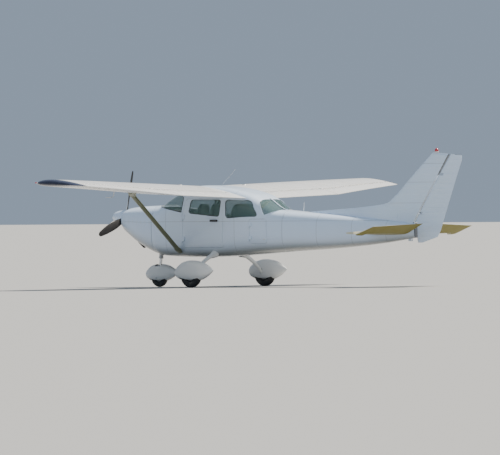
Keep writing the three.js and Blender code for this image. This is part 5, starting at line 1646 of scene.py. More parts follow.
@dataclass(frozen=True)
class Fixed:
    """The fixed part of a surface: rings over the top to the nose, back below and up a rear wall."""

    planform: Planform
    section: Section
    columns: int
    wall: int = 9
    gap: float = 0.006
    cove_from: float = 0.63

    def _ring(self, out: float, wall_x: Array, wall_z: Array) -> Array:
        """A ring with the given rear wall."""
        x = spaced(0, float(wall_x[0]), self.columns)
        line, half = self.section.heights(x)
        top = self.planform.point(out, x[::-1], (line + half)[::-1])
        bottom = self.planform.point(out, x[1:], (line - half)[1:])
        return np.concatenate([top, bottom, self.planform.point(out, wall_x[1:-1], wall_z[1:-1])])

    def straight(self, out: float, cut: float) -> Array:
        """A ring whose rear wall stands straight at a fraction of the chord."""
        line, half = self.section.heights(cut)
        return self._ring(out, np.full(self.wall, cut), line + half * np.linspace(-1, 1, self.wall))

    def cove(self, out: float, rule: Flap) -> Array:
        """A ring whose rear wall is a hollow arc about the hinge, a gap from the control's nose."""
        hinge = float(rule.hinge(np.array(out)))
        r = float(rule.nose(np.array(out))) + self.gap / float(self.planform.chord_at(out))
        turn = np.linspace(2 - self.cove_from, self.cove_from, self.wall) * math.pi
        line, _ = self.section.heights(hinge)
        return self._ring(out, hinge + r * np.cos(turn), line + r * np.sin(turn))


def between(top: Array, bottom: Array) -> Solid:
    """A solid between an upper and a lower surface that share their front edge."""
    return loft(np.concatenate([top[:, ::-1], bottom[:, 1:]], axis=1))


def turned_about(solid: Solid, aft: float, up: float, degrees: float) -> Solid:
    """A solid turned about a line across the aircraft, positive with the rear edge down."""
    pivot = np.array([x_at(aft), 0, up])
    return Solid((solid.points - pivot) @ slant(degrees).T + pivot, solid.triangles)


@dataclass
class Wing:
    """Both wings, each with its flap, aileron, tip cap, strut and fittings."""

    root: float = 0.490
    end: float = 5.330
    half_span: float = 5.500
    flap_hinge: float = 0.735
    aileron_hinge: float = 0.77
    flap_span: Pair = (0.602, 2.680)
    aileron_span: Pair = (2.706, 5.276)
    end_gap: float = 0.014
    gap: float = 0.006
    track_outs: Pair = (0.850, 2.430)
    track: Pair = (0.185, 0.205)
    pivot_drop: float = 0.130
    strut_low: tuple[float, ...] = (1.985, 0.520, 0.690)
    strut_high: tuple[float, ...] = (2.244, 2.560, 1.870)
    strut_half: Pair = (0.064, 0.025)
    cap_place: Pair = (1.10, 0.28)
    pitot_place: Pair = (3.05, 0.17)

    def build(self) -> None:
        """Builds both wings."""
        for side in Side:
            self._panel(side)
            self._controls(side)
            self._tip(side)
            self._strut(side)
        self._fittings()

    @property
    def _arm_outs(self) -> tuple[float, ...]:
        """Distances out of the aileron's two hinge arms."""
        start, outer = self.aileron_span
        return tuple(start + (outer - start) * part for part in (0.12, 0.88))

    def _aileron(self) -> Flap:
        """The aileron's section rule, with a notch at each hinge arm."""
        notches = Notches(self._arm_outs, 0.017, 0.085)
        hinge = self.aileron_hinge
        return Flap(WING, WING_SECTION, lambda out: np.full(np.shape(out), hinge), 0.009, notches)

    def _panel(self, side: Side) -> None:
        """The fixed wing, with the wells of the flap and the aileron, and its hinge brackets."""
        inner, outer = self.flap_span[0] - self.end_gap, self.aileron_span[0] - self.end_gap
        last = self.aileron_span[1] + self.end_gap
        fixed, rule = Fixed(WING, WING_SECTION, 34), self._aileron()
        rings = [fixed.straight(out, 1.0) for out in (self.root, inner)]
        for out in np.linspace(inner + 1e-4, outer - 1e-4, 26):
            rings.append(fixed.straight(out, self.flap_hinge - self.gap / float(WING.chord_at(out))))
        rings += [fixed.cove(out, rule) for out in np.linspace(outer, last - 1e-4, 30)]
        rings += [fixed.straight(out, 1.0) for out in (last, self.end - 0.0005)]
        panel = joined([loft(np.array(rings)), *self._brackets()])
        put(f"wing_skin_{side.word}", panel.on(side), WING_PAINT, Slot.SKIN, f"wing_{side.word}")

    def _brackets(self) -> list[Solid]:
        """Aileron hinge arms, and the flap's tracks: plates on an arc about its line of turning."""
        parts = []
        line, _ = WING_SECTION.heights(self.aileron_hinge)
        for out in self._arm_outs:
            at = np.linspace(self.aileron_hinge - 0.050, self.aileron_hinge, 6)
            parts.append(tube(WING.point(out, at, line), np.linspace(0.012, 0.009, 6), 14))
        line, half = WING_SECTION.heights(self.flap_hinge)
        turn = np.radians(np.linspace(-10, 36, 24))[:, None]
        for out in self.track_outs:
            low = line - half - self.pivot_drop / float(WING.chord_at(out))
            reach = np.array([[*self.track, *self.track[::-1]]])
            side = 0.004 * np.array([[-1, -1, 1, 1]])
            arc = xyz(reach * np.sin(turn), side, reach * np.cos(turn))
            parts.append(loft(WING.point(out, self.flap_hinge, low) + arc))
        return parts

    def _controls(self, side: Side) -> None:
        """The flap and the aileron."""
        notches = Notches(self.track_outs, 0.009, 0.150)
        hinge = self.flap_hinge + 0.030
        flap = Flap(WING, WING_SECTION, lambda out: np.full(np.shape(out), hinge), 0.004, notches)
        for kind, rule, (start, outer) in (
            ("aileron", self._aileron(), self.aileron_span),
            ("flap", flap, self.flap_span),
        ):
            surface = rule.solid(lambda x, edge=start: np.full(np.shape(x), edge), outer).on(side)
            name, node, body = f"{kind}_skin_{side.word}", f"{kind}_{side.word}", f"{side.word}_{kind}"
            put(name, surface, WING_PAINT_PLAIN, Slot.SKIN, node, body=body)

    def _tip(self, side: Side) -> None:
        """The dark moulded cap: the end section drawn in along a quarter ellipse, and its light."""
        t = np.linspace(0, 1, 18)[:, None]
        out = self.end + 0.0004 + t * (self.half_span - self.end - 0.0006)
        shrink = np.sqrt(np.maximum(1 - t**2.4, 0.0)) * 0.97 + 0.03
        x = spaced(0, 1, 34)[None, :]
        line, half = WING_SECTION.heights(x)
        base = np.minimum(out, 5.420)
        scale = 1 - (1 - shrink) * 0.45
        at = (1 - scale) * 0.45 + x * scale
        top = WING.point(base + 0 * x, at, line * scale + half * shrink)
        bottom = WING.point(base + 0 * x, at, line * scale - half * shrink)
        top[..., 1], bottom[..., 1] = out, out
        cap = between(top, bottom)
        put(f"tip_cap_{side.word}", cap.on(side), NAVY, Slot.TIP, f"wing_tip_{side.word}")
        drop, middle = ball(18, 32) * np.array([0.055, 0.030, 0.017]), WING.point(5.405, 0.035, 0.004)
        put(f"tip_lens_{side.word}", loft(drop + middle).on(side), CLEAR_LENS, Slot.GLASS)
        bulb = loft(drop * np.array([0.5, 0.5, 0.8]) + middle + np.array([-0.035, 0.018, 0.004]))
        finish = GREEN_LENS if side is Side.RIGHT else RED_LENS
        put(f"tip_bulb_{side.word}", bulb.on(side), finish, Slot.BEACON)

    def _strut(self, side: Side) -> None:
        """The streamlined strut with a cuff at each end and the tie-down eye."""
        low, high = np.array(self.strut_low), np.array(self.strut_high)
        turn = full_turn(48)[None, :]

        def length(share: Array, grow: Array) -> Solid:
            """The strut at shares of its length, grown by a factor: a fuller nose than tail."""
            centre = low + (high - low) * share[:, None]
            u = np.cos(turn)
            wide = u * self.strut_half[0] * grow[:, None]
            tall = np.sin(turn) * (1 - 0.25 * u) * self.strut_half[1] * grow[:, None]
            aft, out, up = (centre[:, k, None] for k in range(3))
            return loft(xyz(x_at(aft + wide), out, up + tall))

        cuff = 1.04 + 0.20 * np.sin(np.linspace(0.0, math.pi, 12)) ** 0.5
        pieces = [length(np.linspace(0, 1, 30), np.ones(30))]
        pieces += [length(np.linspace(*ends, 12), cuff) for ends in ((0.020, 0.075), (0.930, 0.985))]
        pieces.append(eye_plate((2.230, 2.372), (1.788, 1.880), (2.536, 2.548), (2.348, 1.812), 0.013))
        name, node = f"strut_skin_{side.word}", f"wing_strut_{side.word}"
        put(name, joined(pieces).on(side), STRUT_PAINT, Slot.SKIN, node)

    def _fittings(self) -> None:
        """Fuel caps on both wings, and the pitot tube on the left."""
        line, half = WING_SECTION.heights(self.cap_place[1])
        spot = WING.point(*self.cap_place, line + half)
        rim = [[0.0005, -0.004], [0.040, -0.004], [0.043, 0.001], [0.040, 0.005]]
        cap = lathed(np.array(rim + [[0.012, 0.0065], [0.0005, 0.0065]]), 48, UPWARDS, spot)
        tab = slab(spot + (-0.030, -0.006, 0.004), spot + (0.030, 0.006, 0.012), 0.003, 8)
        caps = [piece for part in (cap, tab) for piece in (part, part.mirrored())]
        put("fuel_caps", joined(caps), CHALK, Slot.RIM)
        line, half = WING_SECTION.heights(self.pitot_place[1])
        x = np.array([0.01, 0.0, -0.01, -0.05, -0.12, -0.19])
        z = np.array([0.01, -0.05, -0.10, -0.118, -0.118, -0.116])
        path = WING.point(*self.pitot_place, line - half) + xyz(x, 0.0, z)
        pitot = tube(path, np.array([0.009, 0.008, 0.008, 0.0075, 0.007, 0.006]), 16)
        put("pitot_tube", pitot.on(Side.LEFT), CHALK, Slot.STEEL)


@dataclass
class Tail:
    """Tailplane, elevator, fin with its fillet, and rudder."""

    hinge_aft: float = 7.040
    hinge_up: float = 1.050
    parked: float = 20.0
    horn_out: float = 1.505
    horn_aft: float = 6.918
    end: float = 1.725
    fin_up: tuple[float, ...] = (1.150, 1.600, 1.790, 1.973, 2.660)
    fin_lead: tuple[float, ...] = (6.400, 6.600, 6.815, 7.000, 7.698)
    fin_half: tuple[float, ...] = (0.037, 0.034, 0.032, 0.030, 0.023)
    ridge_aft: tuple[float, ...] = (4.720, 6.440, 6.610, 6.708, 6.800)
    ridge_up: tuple[float, ...] = (1.458, 1.598, 1.655, 1.720, 1.778)
    hinge_ups: Pair = (1.420, 2.200)
    inner_out: float = 0.130
    inner_slant: float = 0.1944
    slant_from: float = 7.085
    root_chord: float = 1.27
    hinge_foot: Pair = (7.207, 1.231)
    hinge_head: Pair = (7.897, 2.364)
    top_up: float = 2.617
    top_aft: float = 7.400
    top_fall: float = 0.1
    fin_foot: float = 1.180
    fin_head: float = 2.580
    beacon: Pair = (7.700, 2.590)
    rudder_ups: Pair = (1.246, 2.620)
    foot_ups: Pair = (0.850, 1.262)
    foot_aft: float = 7.278
    foot_half: float = 0.032
    rear_up: tuple[float, ...] = (0.842, 0.958, 1.075, 2.528, 2.700)
    rear_aft: tuple[float, ...] = (7.330, 7.707, 7.778, 8.280, 8.339)

    def build(self) -> None:
        """Builds the tail."""
        self._tailplane()
        self._elevator()
        self._fin()
        self._rudder()
        self._beacon()

    def _hinge(self, out: Array) -> Array:
        """The elevator's hinge as a fraction of the chord."""
        front = np.interp(out, TAILPLANE.out, TAILPLANE.aft)
        return (self.hinge_aft - front) / TAILPLANE.chord_at(out)

    def _rule(self) -> Flap:
        """The elevator's section rule."""
        return Flap(TAILPLANE, TAIL_SECTION, self._hinge, 0.006)

    def _tailplane(self) -> None:
        """The fixed surface, hollowed ahead of the elevator and stopped short of its horn."""
        rule, fixed = self._rule(), Fixed(TAILPLANE, TAIL_SECTION, 26)
        rings = [fixed.cove(out, rule) for out in np.linspace(0.06, self.horn_out - 0.0121, 24)]
        for out in np.linspace(self.horn_out - 0.012, self.end - 0.001, 8):
            front = float(np.interp(out, TAILPLANE.out, TAILPLANE.aft))
            cut = (self.horn_aft - 0.008 - front) / float(TAILPLANE.chord_at(out))
            rings.append(fixed.straight(out, cut))
        whole = loft(np.array(rings))
        for side in Side:
            name, node = f"tailplane_skin_{side.word}", f"tailplane_{side.word}"
            put(name, whole.on(side), TAILPLANE_PAINT, Slot.SKIN, node)

    def _elevator(self) -> None:
        """Both halves with their horns, on one tube, parked with the rear edge up."""

        def inner(x: Array) -> Array:
            """Inner edge: slanted outwards towards the rear, clear of the rudder."""
            aft = TAILPLANE.aft[0] + x * self.root_chord
            return self.inner_out + self.inner_slant * np.clip(aft - self.slant_from, 0, None)

        blade = self._rule().solid(inner, self.horn_out + 0.003)
        rows = 26
        out = np.linspace(self.horn_out, self.end - 0.001, rows)[:, None]
        front = np.interp(out, TAILPLANE.out, TAILPLANE.aft)
        chord = TAILPLANE.chord_at(out)
        edge = np.clip((out - self.horn_out) / (self.end - self.horn_out), 0, 1)
        start = (self.horn_aft + 0.045 * edge**6 - front) / chord
        share = spaced(0, 1, 22)[None, :]
        x = start + (1 - start) * share
        _, parent = TAIL_SECTION.heights(x)
        nose = np.sqrt(1 - (1 - np.clip(share / 0.16, 0, 1)) ** 2)
        half = parent * nose * np.sqrt(1 - edge**8 * 0.85)
        top, bottom = TAILPLANE.point(out, x, half), TAILPLANE.point(out, x, -half)
        horn = between(top, bottom)
        rod = tube(xyz(x_at(self.hinge_aft), np.linspace(0.0, 0.150, 4), self.hinge_up), 0.0215, 24)
        half_set = joined([blade, horn, rod])
        whole = joined([half_set, half_set.mirrored()])
        whole = turned_about(whole, self.hinge_aft, self.hinge_up, -self.parked)
        put("elevator_skin", whole, TAIL_CONTROL_PAINT, Slot.SKIN, "elevator", body="elevator_surface")

    def _rudder_hinge(self, up: Array) -> Array:
        """Distance aft of the rudder's hinge line at a height."""
        (foot_aft, foot_up), (head_aft, head_up) = self.hinge_foot, self.hinge_head
        return foot_aft + (up - foot_up) * (head_aft - foot_aft) / (head_up - foot_up)

    def _fin_half(self, up: Array) -> Array:
        """The fin's half thickness at the rear, by height."""
        return np.interp(up, self.fin_up, self.fin_half)

    def _fin_top(self, aft: Array) -> Array:
        """Height of the slanted top edge: it falls evenly with each metre aft."""
        return self.top_up - self.top_fall * (aft - self.top_aft)

    def _fin(self) -> None:
        """The fin: level rings that lean with its leading edge, under a slanted top, and its fillet."""
        rows, columns = 60, 22
        v = np.linspace(0, 1, rows)[:, None]
        u = spaced(0, 1, columns)[None, :]
        up_guess = self.fin_foot + v * (self.fin_head - self.fin_foot)
        lead = smooth_through(up_guess, self.fin_up, self.fin_lead)
        half = self._fin_half(up_guess)
        rear = self._rudder_hinge(up_guess) - half * 1.15 - 0.006
        aft = lead + u * (rear - lead)
        top = self._fin_top(aft)
        up = self.fin_foot + v * (top - self.fin_foot)
        wide = half * (1.95 * np.sqrt(u) * (1 - 0.36 * u) - 0.248 * u)
        edge = np.sqrt(np.clip(1 - ((v - 0.975) / 0.025).clip(0, 1) ** 2, 0.02, 1))
        wide = np.maximum(wide * edge, 0.0006)
        right, left = xyz(x_at(aft), wide, up), xyz(x_at(aft), -wide, up)
        fin = loft(np.concatenate([right, left[:, :0:-1]], axis=1))
        share = np.linspace(0, 1, 70)[:, None]
        run = self.ridge_aft[0] + share * (self.ridge_aft[-1] - self.ridge_aft[0])
        ridge = smooth_through(run, self.ridge_aft, self.ridge_up)
        base = smooth_through(run, FORM.aft, FORM.top) - 0.035
        turn = np.linspace(0, math.pi, 17)[None, :]
        foot = 0.012 + 0.030 * np.clip(share * 3, 0, 1)
        tall = np.maximum(ridge - base, 0.004)
        width = foot * np.sign(np.cos(turn)) * np.abs(np.cos(turn)) ** 1.6
        fillet = loft(xyz(x_at(run), width, base + tall * np.sin(turn) ** 1.15))
        arms = []
        for up in self.hinge_ups:
            hinge = float(self._rudder_hinge(np.array(up)))
            path = np.linspace((hinge - 0.085, 0, up + 0.052), (hinge, 0, up), 6)
            arms.append(tube(path - np.array([HALF_LENGTH, 0, 0]), np.linspace(0.011, 0.009, 6), 14))
        put("fin_skin", joined([fin, fillet, *arms]), TAIL_PAINT, Slot.SKIN, "fin")

    def _rudder(self) -> None:
        """The rudder: ridged level rings behind the hinge line, and the foot under the fuselage's end."""
        beads = Beads(0.092, 0.014, 0.0028)
        notches = Notches(self.hinge_ups, 0.026, 0.075)

        def slices(ups: Array, nose_at: Array, half: Array, top_cut: bool) -> Solid:
            """Rings with a round nose and straight sides to the rear edge, set back at the arms."""
            v_up, front, half = ups[:, None], nose_at[:, None], half[:, None]
            turn = np.linspace(math.pi, math.pi / 2, 8)[None, :]
            rear = np.interp(v_up, self.rear_up, self.rear_aft)
            share = np.linspace(0, 1, 14)[None, 1:]
            x = np.concatenate([front + half * np.cos(turn), front + share * (rear - front)], axis=1)
            full = half + 0.004 * np.clip(share * 8, 0, 1)
            y = np.concatenate([half * np.sin(turn), full * (1 - share) + 0.003 * share], axis=1)
            x = x + notches.set_back(v_up) * (rear - x) / (rear - (front - half))
            lifted = v_up + 0 * x
            if top_cut:
                low, high = ups[0], ups[-1]
                lifted = low + (lifted - low) * (self._fin_top(x) - low) / (high - low)
            fade = np.clip((x - front - 0.07) / 0.03, 0, 1) * np.clip((rear - 0.02 - x) / 0.03, 0, 1)
            y = y + beads.rise(lifted) * fade
            right, left = xyz(x_at(x), y, lifted), xyz(x_at(x), -y, lifted)
            return loft(np.concatenate([right[:, 1:], left[:, ::-1]], axis=1))

        ups = notches.rows(*self.rudder_ups, 0.0075)
        upper = slices(ups, self._rudder_hinge(ups), self._fin_half(ups) - 0.005, True)
        upper.points[:, 0] = np.minimum(upper.points[:, 0], HALF_LENGTH)
        ups = np.linspace(*self.foot_ups, 60)
        half = self.foot_half * np.interp(ups, (0.85, 0.90), (0.55, 1))
        foot = slices(ups, np.full(60, self.foot_aft), half, False)
        put("rudder_skin", joined([upper, foot]), RUDDER_PAINT, Slot.SKIN, "rudder", body="rudder_surface")
        aft, up = np.array([8.12, 8.16, 8.22, 8.275]), np.array([2.545, 2.548, 2.552, 2.556])
        wick = tube(xyz(x_at(aft), 0.0, up), np.array([0.004, 0.003, 0.002, 0.001]), 8)
        put("static_wick", wick, DARK, Slot.PANEL, body="rudder_surface")

    def _beacon(self) -> None:
        """The red beacon on the fin's top: a domed lens on a bright base."""
        t = np.linspace(0, 1, 14)
        dome = np.stack([0.038 * np.sqrt(1 - t**2.6) + 0.0006, 0.026 + t * 0.058], -1)
        dome[:, 0] += 0.0011 * np.cos(t * 40) * (1 - t)
        profile = np.concatenate([[[0.0006, 0.0], [0.036, 0.0]], dome])
        base = np.array([[0.0006, -0.006], [0.040, -0.006], [0.040, 0.020], [0.036, 0.025], [0.0006, 0.025]])
        place = (x_at(self.beacon[0]), 0.0, self.beacon[1])
        lens = lathed(profile, 48, UPWARDS, place)
        put("beacon_lens", lens, RED_LENS, Slot.BEACON, "beacon")
        put("beacon_base", lathed(base, 48, UPWARDS, place), CHALK, Slot.RIM)


# Undercarriage


@dataclass(frozen=True)
class WheelSize:
    """A wheel: the tyre's radius and half width, the rim's radius and its bore's."""

    radius: float
    half: float
    rim: float
    bore: float


@dataclass
class Undercarriage:
    """Legs, wheels and their fairings."""

    track_half: float = 1.265
    main_aft: float = 2.770
    nose_aft: float = 1.120
    main_radius: float = 0.222
    nose_radius: float = 0.180
    nose_scale: float = 0.86
    wall: float = 0.006
    rows_aft: tuple[float, ...] = (-0.370, -0.350, -0.310, -0.160, 0.020, 0.220, 0.400, 0.515)
    rows_half: tuple[float, ...] = (0.022, 0.058, 0.088, 0.134, 0.148, 0.130, 0.074, 0.016)
    rows_top: tuple[float, ...] = (0.322, 0.352, 0.402, 0.500, 0.532, 0.508, 0.432, 0.352)
    rows_bottom: tuple[float, ...] = (0.262, 0.238, 0.192, 0.140, 0.122, 0.145, 0.225, 0.312)
    cap: float = 0.012
    leg_share: tuple[float, ...] = (0.0, 0.32, 0.72, 0.90, 1.0)
    leg_out: tuple[float, ...] = (0.440, 0.700, 1.060, 1.145, 1.170)
    leg_up: tuple[float, ...] = (0.664, 0.565, 0.360, 0.262, 0.225)
    leg_radius: tuple[float, ...] = (0.044, 0.038, 0.031, 0.027, 0.026)
    slot_reach: float = 0.230
    sleeve_aft: float = 1.146
    sleeve_lean: float = 0.0855
    fork_out: float = 0.081

    def build(self) -> None:
        """Builds all three wheels' pieces."""
        for side in Side:
            self._main(side)
        self._nose()

    def _fairing(self, aft: float, out: float, scale: float, wide: float, holes: Level) -> Solid:
        """A teardrop shell, open below for the tyre.

        Rings are superellipses of power two and a half, and a short cap draws each end in.
        """
        run = self.rows_aft[0] + (self.rows_aft[-1] - self.rows_aft[0]) * np.linspace(0, 1, 96) ** 1.2
        half = smooth_through(run, self.rows_aft, self.rows_half) * wide
        top = smooth_through(run, self.rows_aft, self.rows_top)
        bottom = smooth_through(run, self.rows_aft, self.rows_bottom)
        front = np.linspace(0.02, 0.97, 6)
        rear = front[::-1]

        def capped(rows: Array) -> Array:
            """Half sizes with the caps' before and behind them, as a column."""
            return np.concatenate([rows[0] * front, rows, rows[-1] * rear])[:, None]

        half, tall = capped(half), capped((top - bottom) / 2)
        middle = np.pad((top + bottom) / 2, 6, mode="edge")[:, None]
        before, behind = run[0] - self.cap * (1 - front**2), run[-1] + self.cap * (1 - rear**2)
        run = np.concatenate([before, run, behind])[:, None]
        c, s = circle(96)
        size = square_reach(c, s, 2.5)
        grid = xyz(x_at(aft + run * scale), out + half * size * c, (middle + tall * size * s) * scale)
        return shell(grid, self.wall, holes, around=True)

    @staticmethod
    def _box_distance(points: Array, low: Sequence[float], high: Sequence[float]) -> Array:
        """Distance outside a box with 30 mm round its edges, negative inside.

        It is the length of what lies beyond the six sides moved in by the rounding, or else the
        greatest of their distances, less the rounding.
        """
        rounding = 0.030
        past = np.maximum(np.asarray(low) - points, points - np.asarray(high)) + rounding
        outside = np.linalg.norm(np.maximum(past, 0), axis=-1)
        return outside + np.minimum(past.max(-1), 0) - rounding

    def _main(self, side: Side) -> None:
        """A main leg, wheel and fairing."""
        word, x = side.word, x_at(self.main_aft)
        reach, half = self.slot_reach, 0.100
        slot = ((x - reach, self.track_half - half, -0.1), (x + reach, self.track_half + half, reach))
        share = np.linspace(0, 1, 40)
        curves = (self.leg_out, self.leg_up, self.leg_radius)
        out, up, radius = (smooth_through(share, self.leg_share, values) for values in curves)
        path = xyz(x, out, up)

        def holes(points: Array) -> Array:
            """Clear of the tyre's opening, and of a close hole round the leg."""
            leg = np.linalg.norm(points[:, None] - path, axis=-1) - radius - 0.009
            return np.minimum(self._box_distance(points, *slot), leg.min(-1))

        fairing = self._fairing(self.main_aft, self.track_half, 1.0, 1.0, holes)
        put(f"main_spat_{word}", fairing.on(side), FAIRING_PAINT, Slot.SKIN, f"main_fairing_{word}")
        leg = tube(path, radius, 28)
        cuff = tube(np.linspace((x, 0.440, 0.656), (x, 0.580, 0.606), 14), np.linspace(0.080, 0.046, 14), 32)
        axle = tube(xyz(x, np.array([1.150, 1.20, 1.30, 1.386]), self.main_radius), 0.0188, 24)
        put(f"leg_tube_{word}", joined([leg, cuff, axle]).on(side), LEG_PAINT, Slot.LEG, f"main_leg_{word}")
        wheel = WheelSize(self.main_radius, 0.078, 0.088, 0.0205)
        nodes = (f"main_tyre_{word}", f"main_rim_{word}")
        self._wheel(word, f"{word}_wheel", (x, self.track_half * side.value), wheel, nodes)

    def _wheel(self, word: str, body: str, at: Pair, size: WheelSize, nodes: tuple[str, str]) -> None:
        """A tyre with three grooves, and its two-part rim with bolts.

        The tyre's profile is a superellipse of power 2.6 about the middle of its wall, less a
        small raised cosine at each groove.
        """
        (x, y), radius, half, rim = at, size.radius, size.half, size.rim
        middle, tall = (radius + rim) / 2, (radius - rim) / 2
        c, s = circle(120)
        reach = square_reach(c, s, 2.6)
        along, out = half * reach * s * 0.985, middle + tall * reach * c
        groove = np.zeros_like(along)
        for place in (-0.42, 0.0, 0.42):
            away = np.abs(along / half - place)
            groove += 0.0045 * 0.5 * (1 + np.cos(math.pi * np.clip(away / 0.055, 0, 1)))
        out = np.where(out > radius - 0.012, out - groove, out)
        place = (x, y, radius)
        tyre = lathed(np.stack([out, along], -1), 128, ACROSS, place)
        put(f"tyre_{word}", tyre, TYRE, Slot.TYRE, nodes[0], body=body)
        r = rim - 0.0006
        edge = half * 0.60
        dish = [[size.bore, half * 0.55], [r * 0.42, half * 0.55], [r * 0.50, half * 0.40]]
        dish += [[r * 0.78, half * 0.22], [r * 0.90, edge * 0.9], [r, edge]]
        profile = [[a, -b] for a, b in dish] + dish[::-1]
        wheel = [lathed(np.array(profile), 96, ACROSS, place)]
        ends = xyz(0.0, np.array([-0.012, -0.006, 0.006, 0.012]) * (half * 0.40 / 0.012), 0.0)
        for number in range(6):
            a = number * math.pi / 3
            spot = np.array([x + 0.60 * r * math.cos(a), y, radius + 0.60 * r * math.sin(a)])
            wheel.append(tube(spot + ends, 0.006, 6))
        put(f"rim_{word}", joined(wheel), CHALK, Slot.RIM, nodes[1], body=body)

    def _nose(self) -> None:
        """The nose leg, fork, wheel and fairing."""
        x = x_at(self.nose_aft)
        scale = self.nose_scale
        reach = self.slot_reach * scale
        slot = ((x - reach, -0.086, -0.1), (x + reach, 0.086, reach))
        crown = ((x - 0.052, -0.102, 0.330), (x_at(self.sleeve_aft) + 0.066, 0.102, 0.600))

        def holes(points: Array) -> Array:
            """Clear of the tyre's opening, the fork's crown and the axle."""
            axle = np.hypot(points[:, 0] - x, points[:, 2] - self.nose_radius) - 0.0150
            parts = [self._box_distance(points, *slot), self._box_distance(points, *crown), axle]
            return np.min(parts, axis=0)

        fairing = self._fairing(self.nose_aft, 0.0, scale, scale, holes)
        put("nose_spat", fairing, FAIRING_PAINT, Slot.SKIN, "nose_fairing", body="nose_steering")
        wheel = WheelSize(self.nose_radius, 0.060, 0.072, 0.0150)
        self._wheel("nose", "nose_wheel", (x, 0.0), wheel, ("nose_tyre", "nose_rim"))
        self._nose_leg()

    def _strut_at(self, up: Array) -> Array:
        """The nose leg's centre line by height."""
        return xyz(x_at(self.sleeve_aft + (up - 0.400) * self.sleeve_lean), 0.0, up)

    def _nose_leg(self) -> None:
        """The sleeve with its collars and brackets, and the fork with a bright piston."""
        steps = (
            (0.560, 0.040), (0.566, 0.046), (0.590, 0.046), (0.592, 0.042), (0.700, 0.042),
            (0.702, 0.048), (0.735, 0.048), (0.737, 0.042), (0.915, 0.042), (0.917, 0.048),
            (0.950, 0.048), (0.952, 0.042), (0.985, 0.040),
        )
        ups, radius = np.array(steps).T
        parts = [tube(self._strut_at(ups), radius, 32)]
        for up in (0.930, 0.720):
            start = float(self._strut_at(np.array(up))[0])
            parts.append(slab((start, -0.034, up - 0.024), (x_at(1.2946), 0.034, up + 0.024), 0.006, 8))
        put("nose_sleeve", joined(parts), STEEL, Slot.STEEL, "nose_leg")
        piston = tube(self._strut_at(np.linspace(0.412, 0.775, 8)), 0.0295, 32)
        put("nose_piston", piston, POLISHED, Slot.STEEL, body="nose_steering")
        x = x_at(self.nose_aft)
        parts = [slab((x - 0.038, -0.088, 0.386), (x_at(1.198), 0.088, 0.424), 0.010, 8)]
        lean, ups = np.array([0.0, 0.006, 0.012, 0.016]), np.array([0.180, 0.240, 0.330, 0.400])
        for out in (self.fork_out, -self.fork_out):
            parts.append(self._flat_bar(xyz(x + lean, out, ups), 0.026, 0.0065))
        ends = xyz(x, np.array([-0.138, -0.130, 0.0, 0.130, 0.138]), self.nose_radius)
        parts.append(tube(ends, np.array([0.0125, 0.014, 0.014, 0.014, 0.0125]), 24))
        put("nose_fork_arms", joined(parts), FORK_PAINT, Slot.STEEL, "nose_fork", body="nose_steering")

    @staticmethod
    def _flat_bar(path: Array, wide: float, thick: float) -> Solid:
        """A flat bar along a path in a plane across Y: rings are superellipses of power six."""
        c, s = circle(28)
        size = square_reach(c, s, 6)
        x, y, z = path.T[..., None]
        return loft(xyz(x + wide * size * c, y + thick * size * s, z))


# Cabin furniture


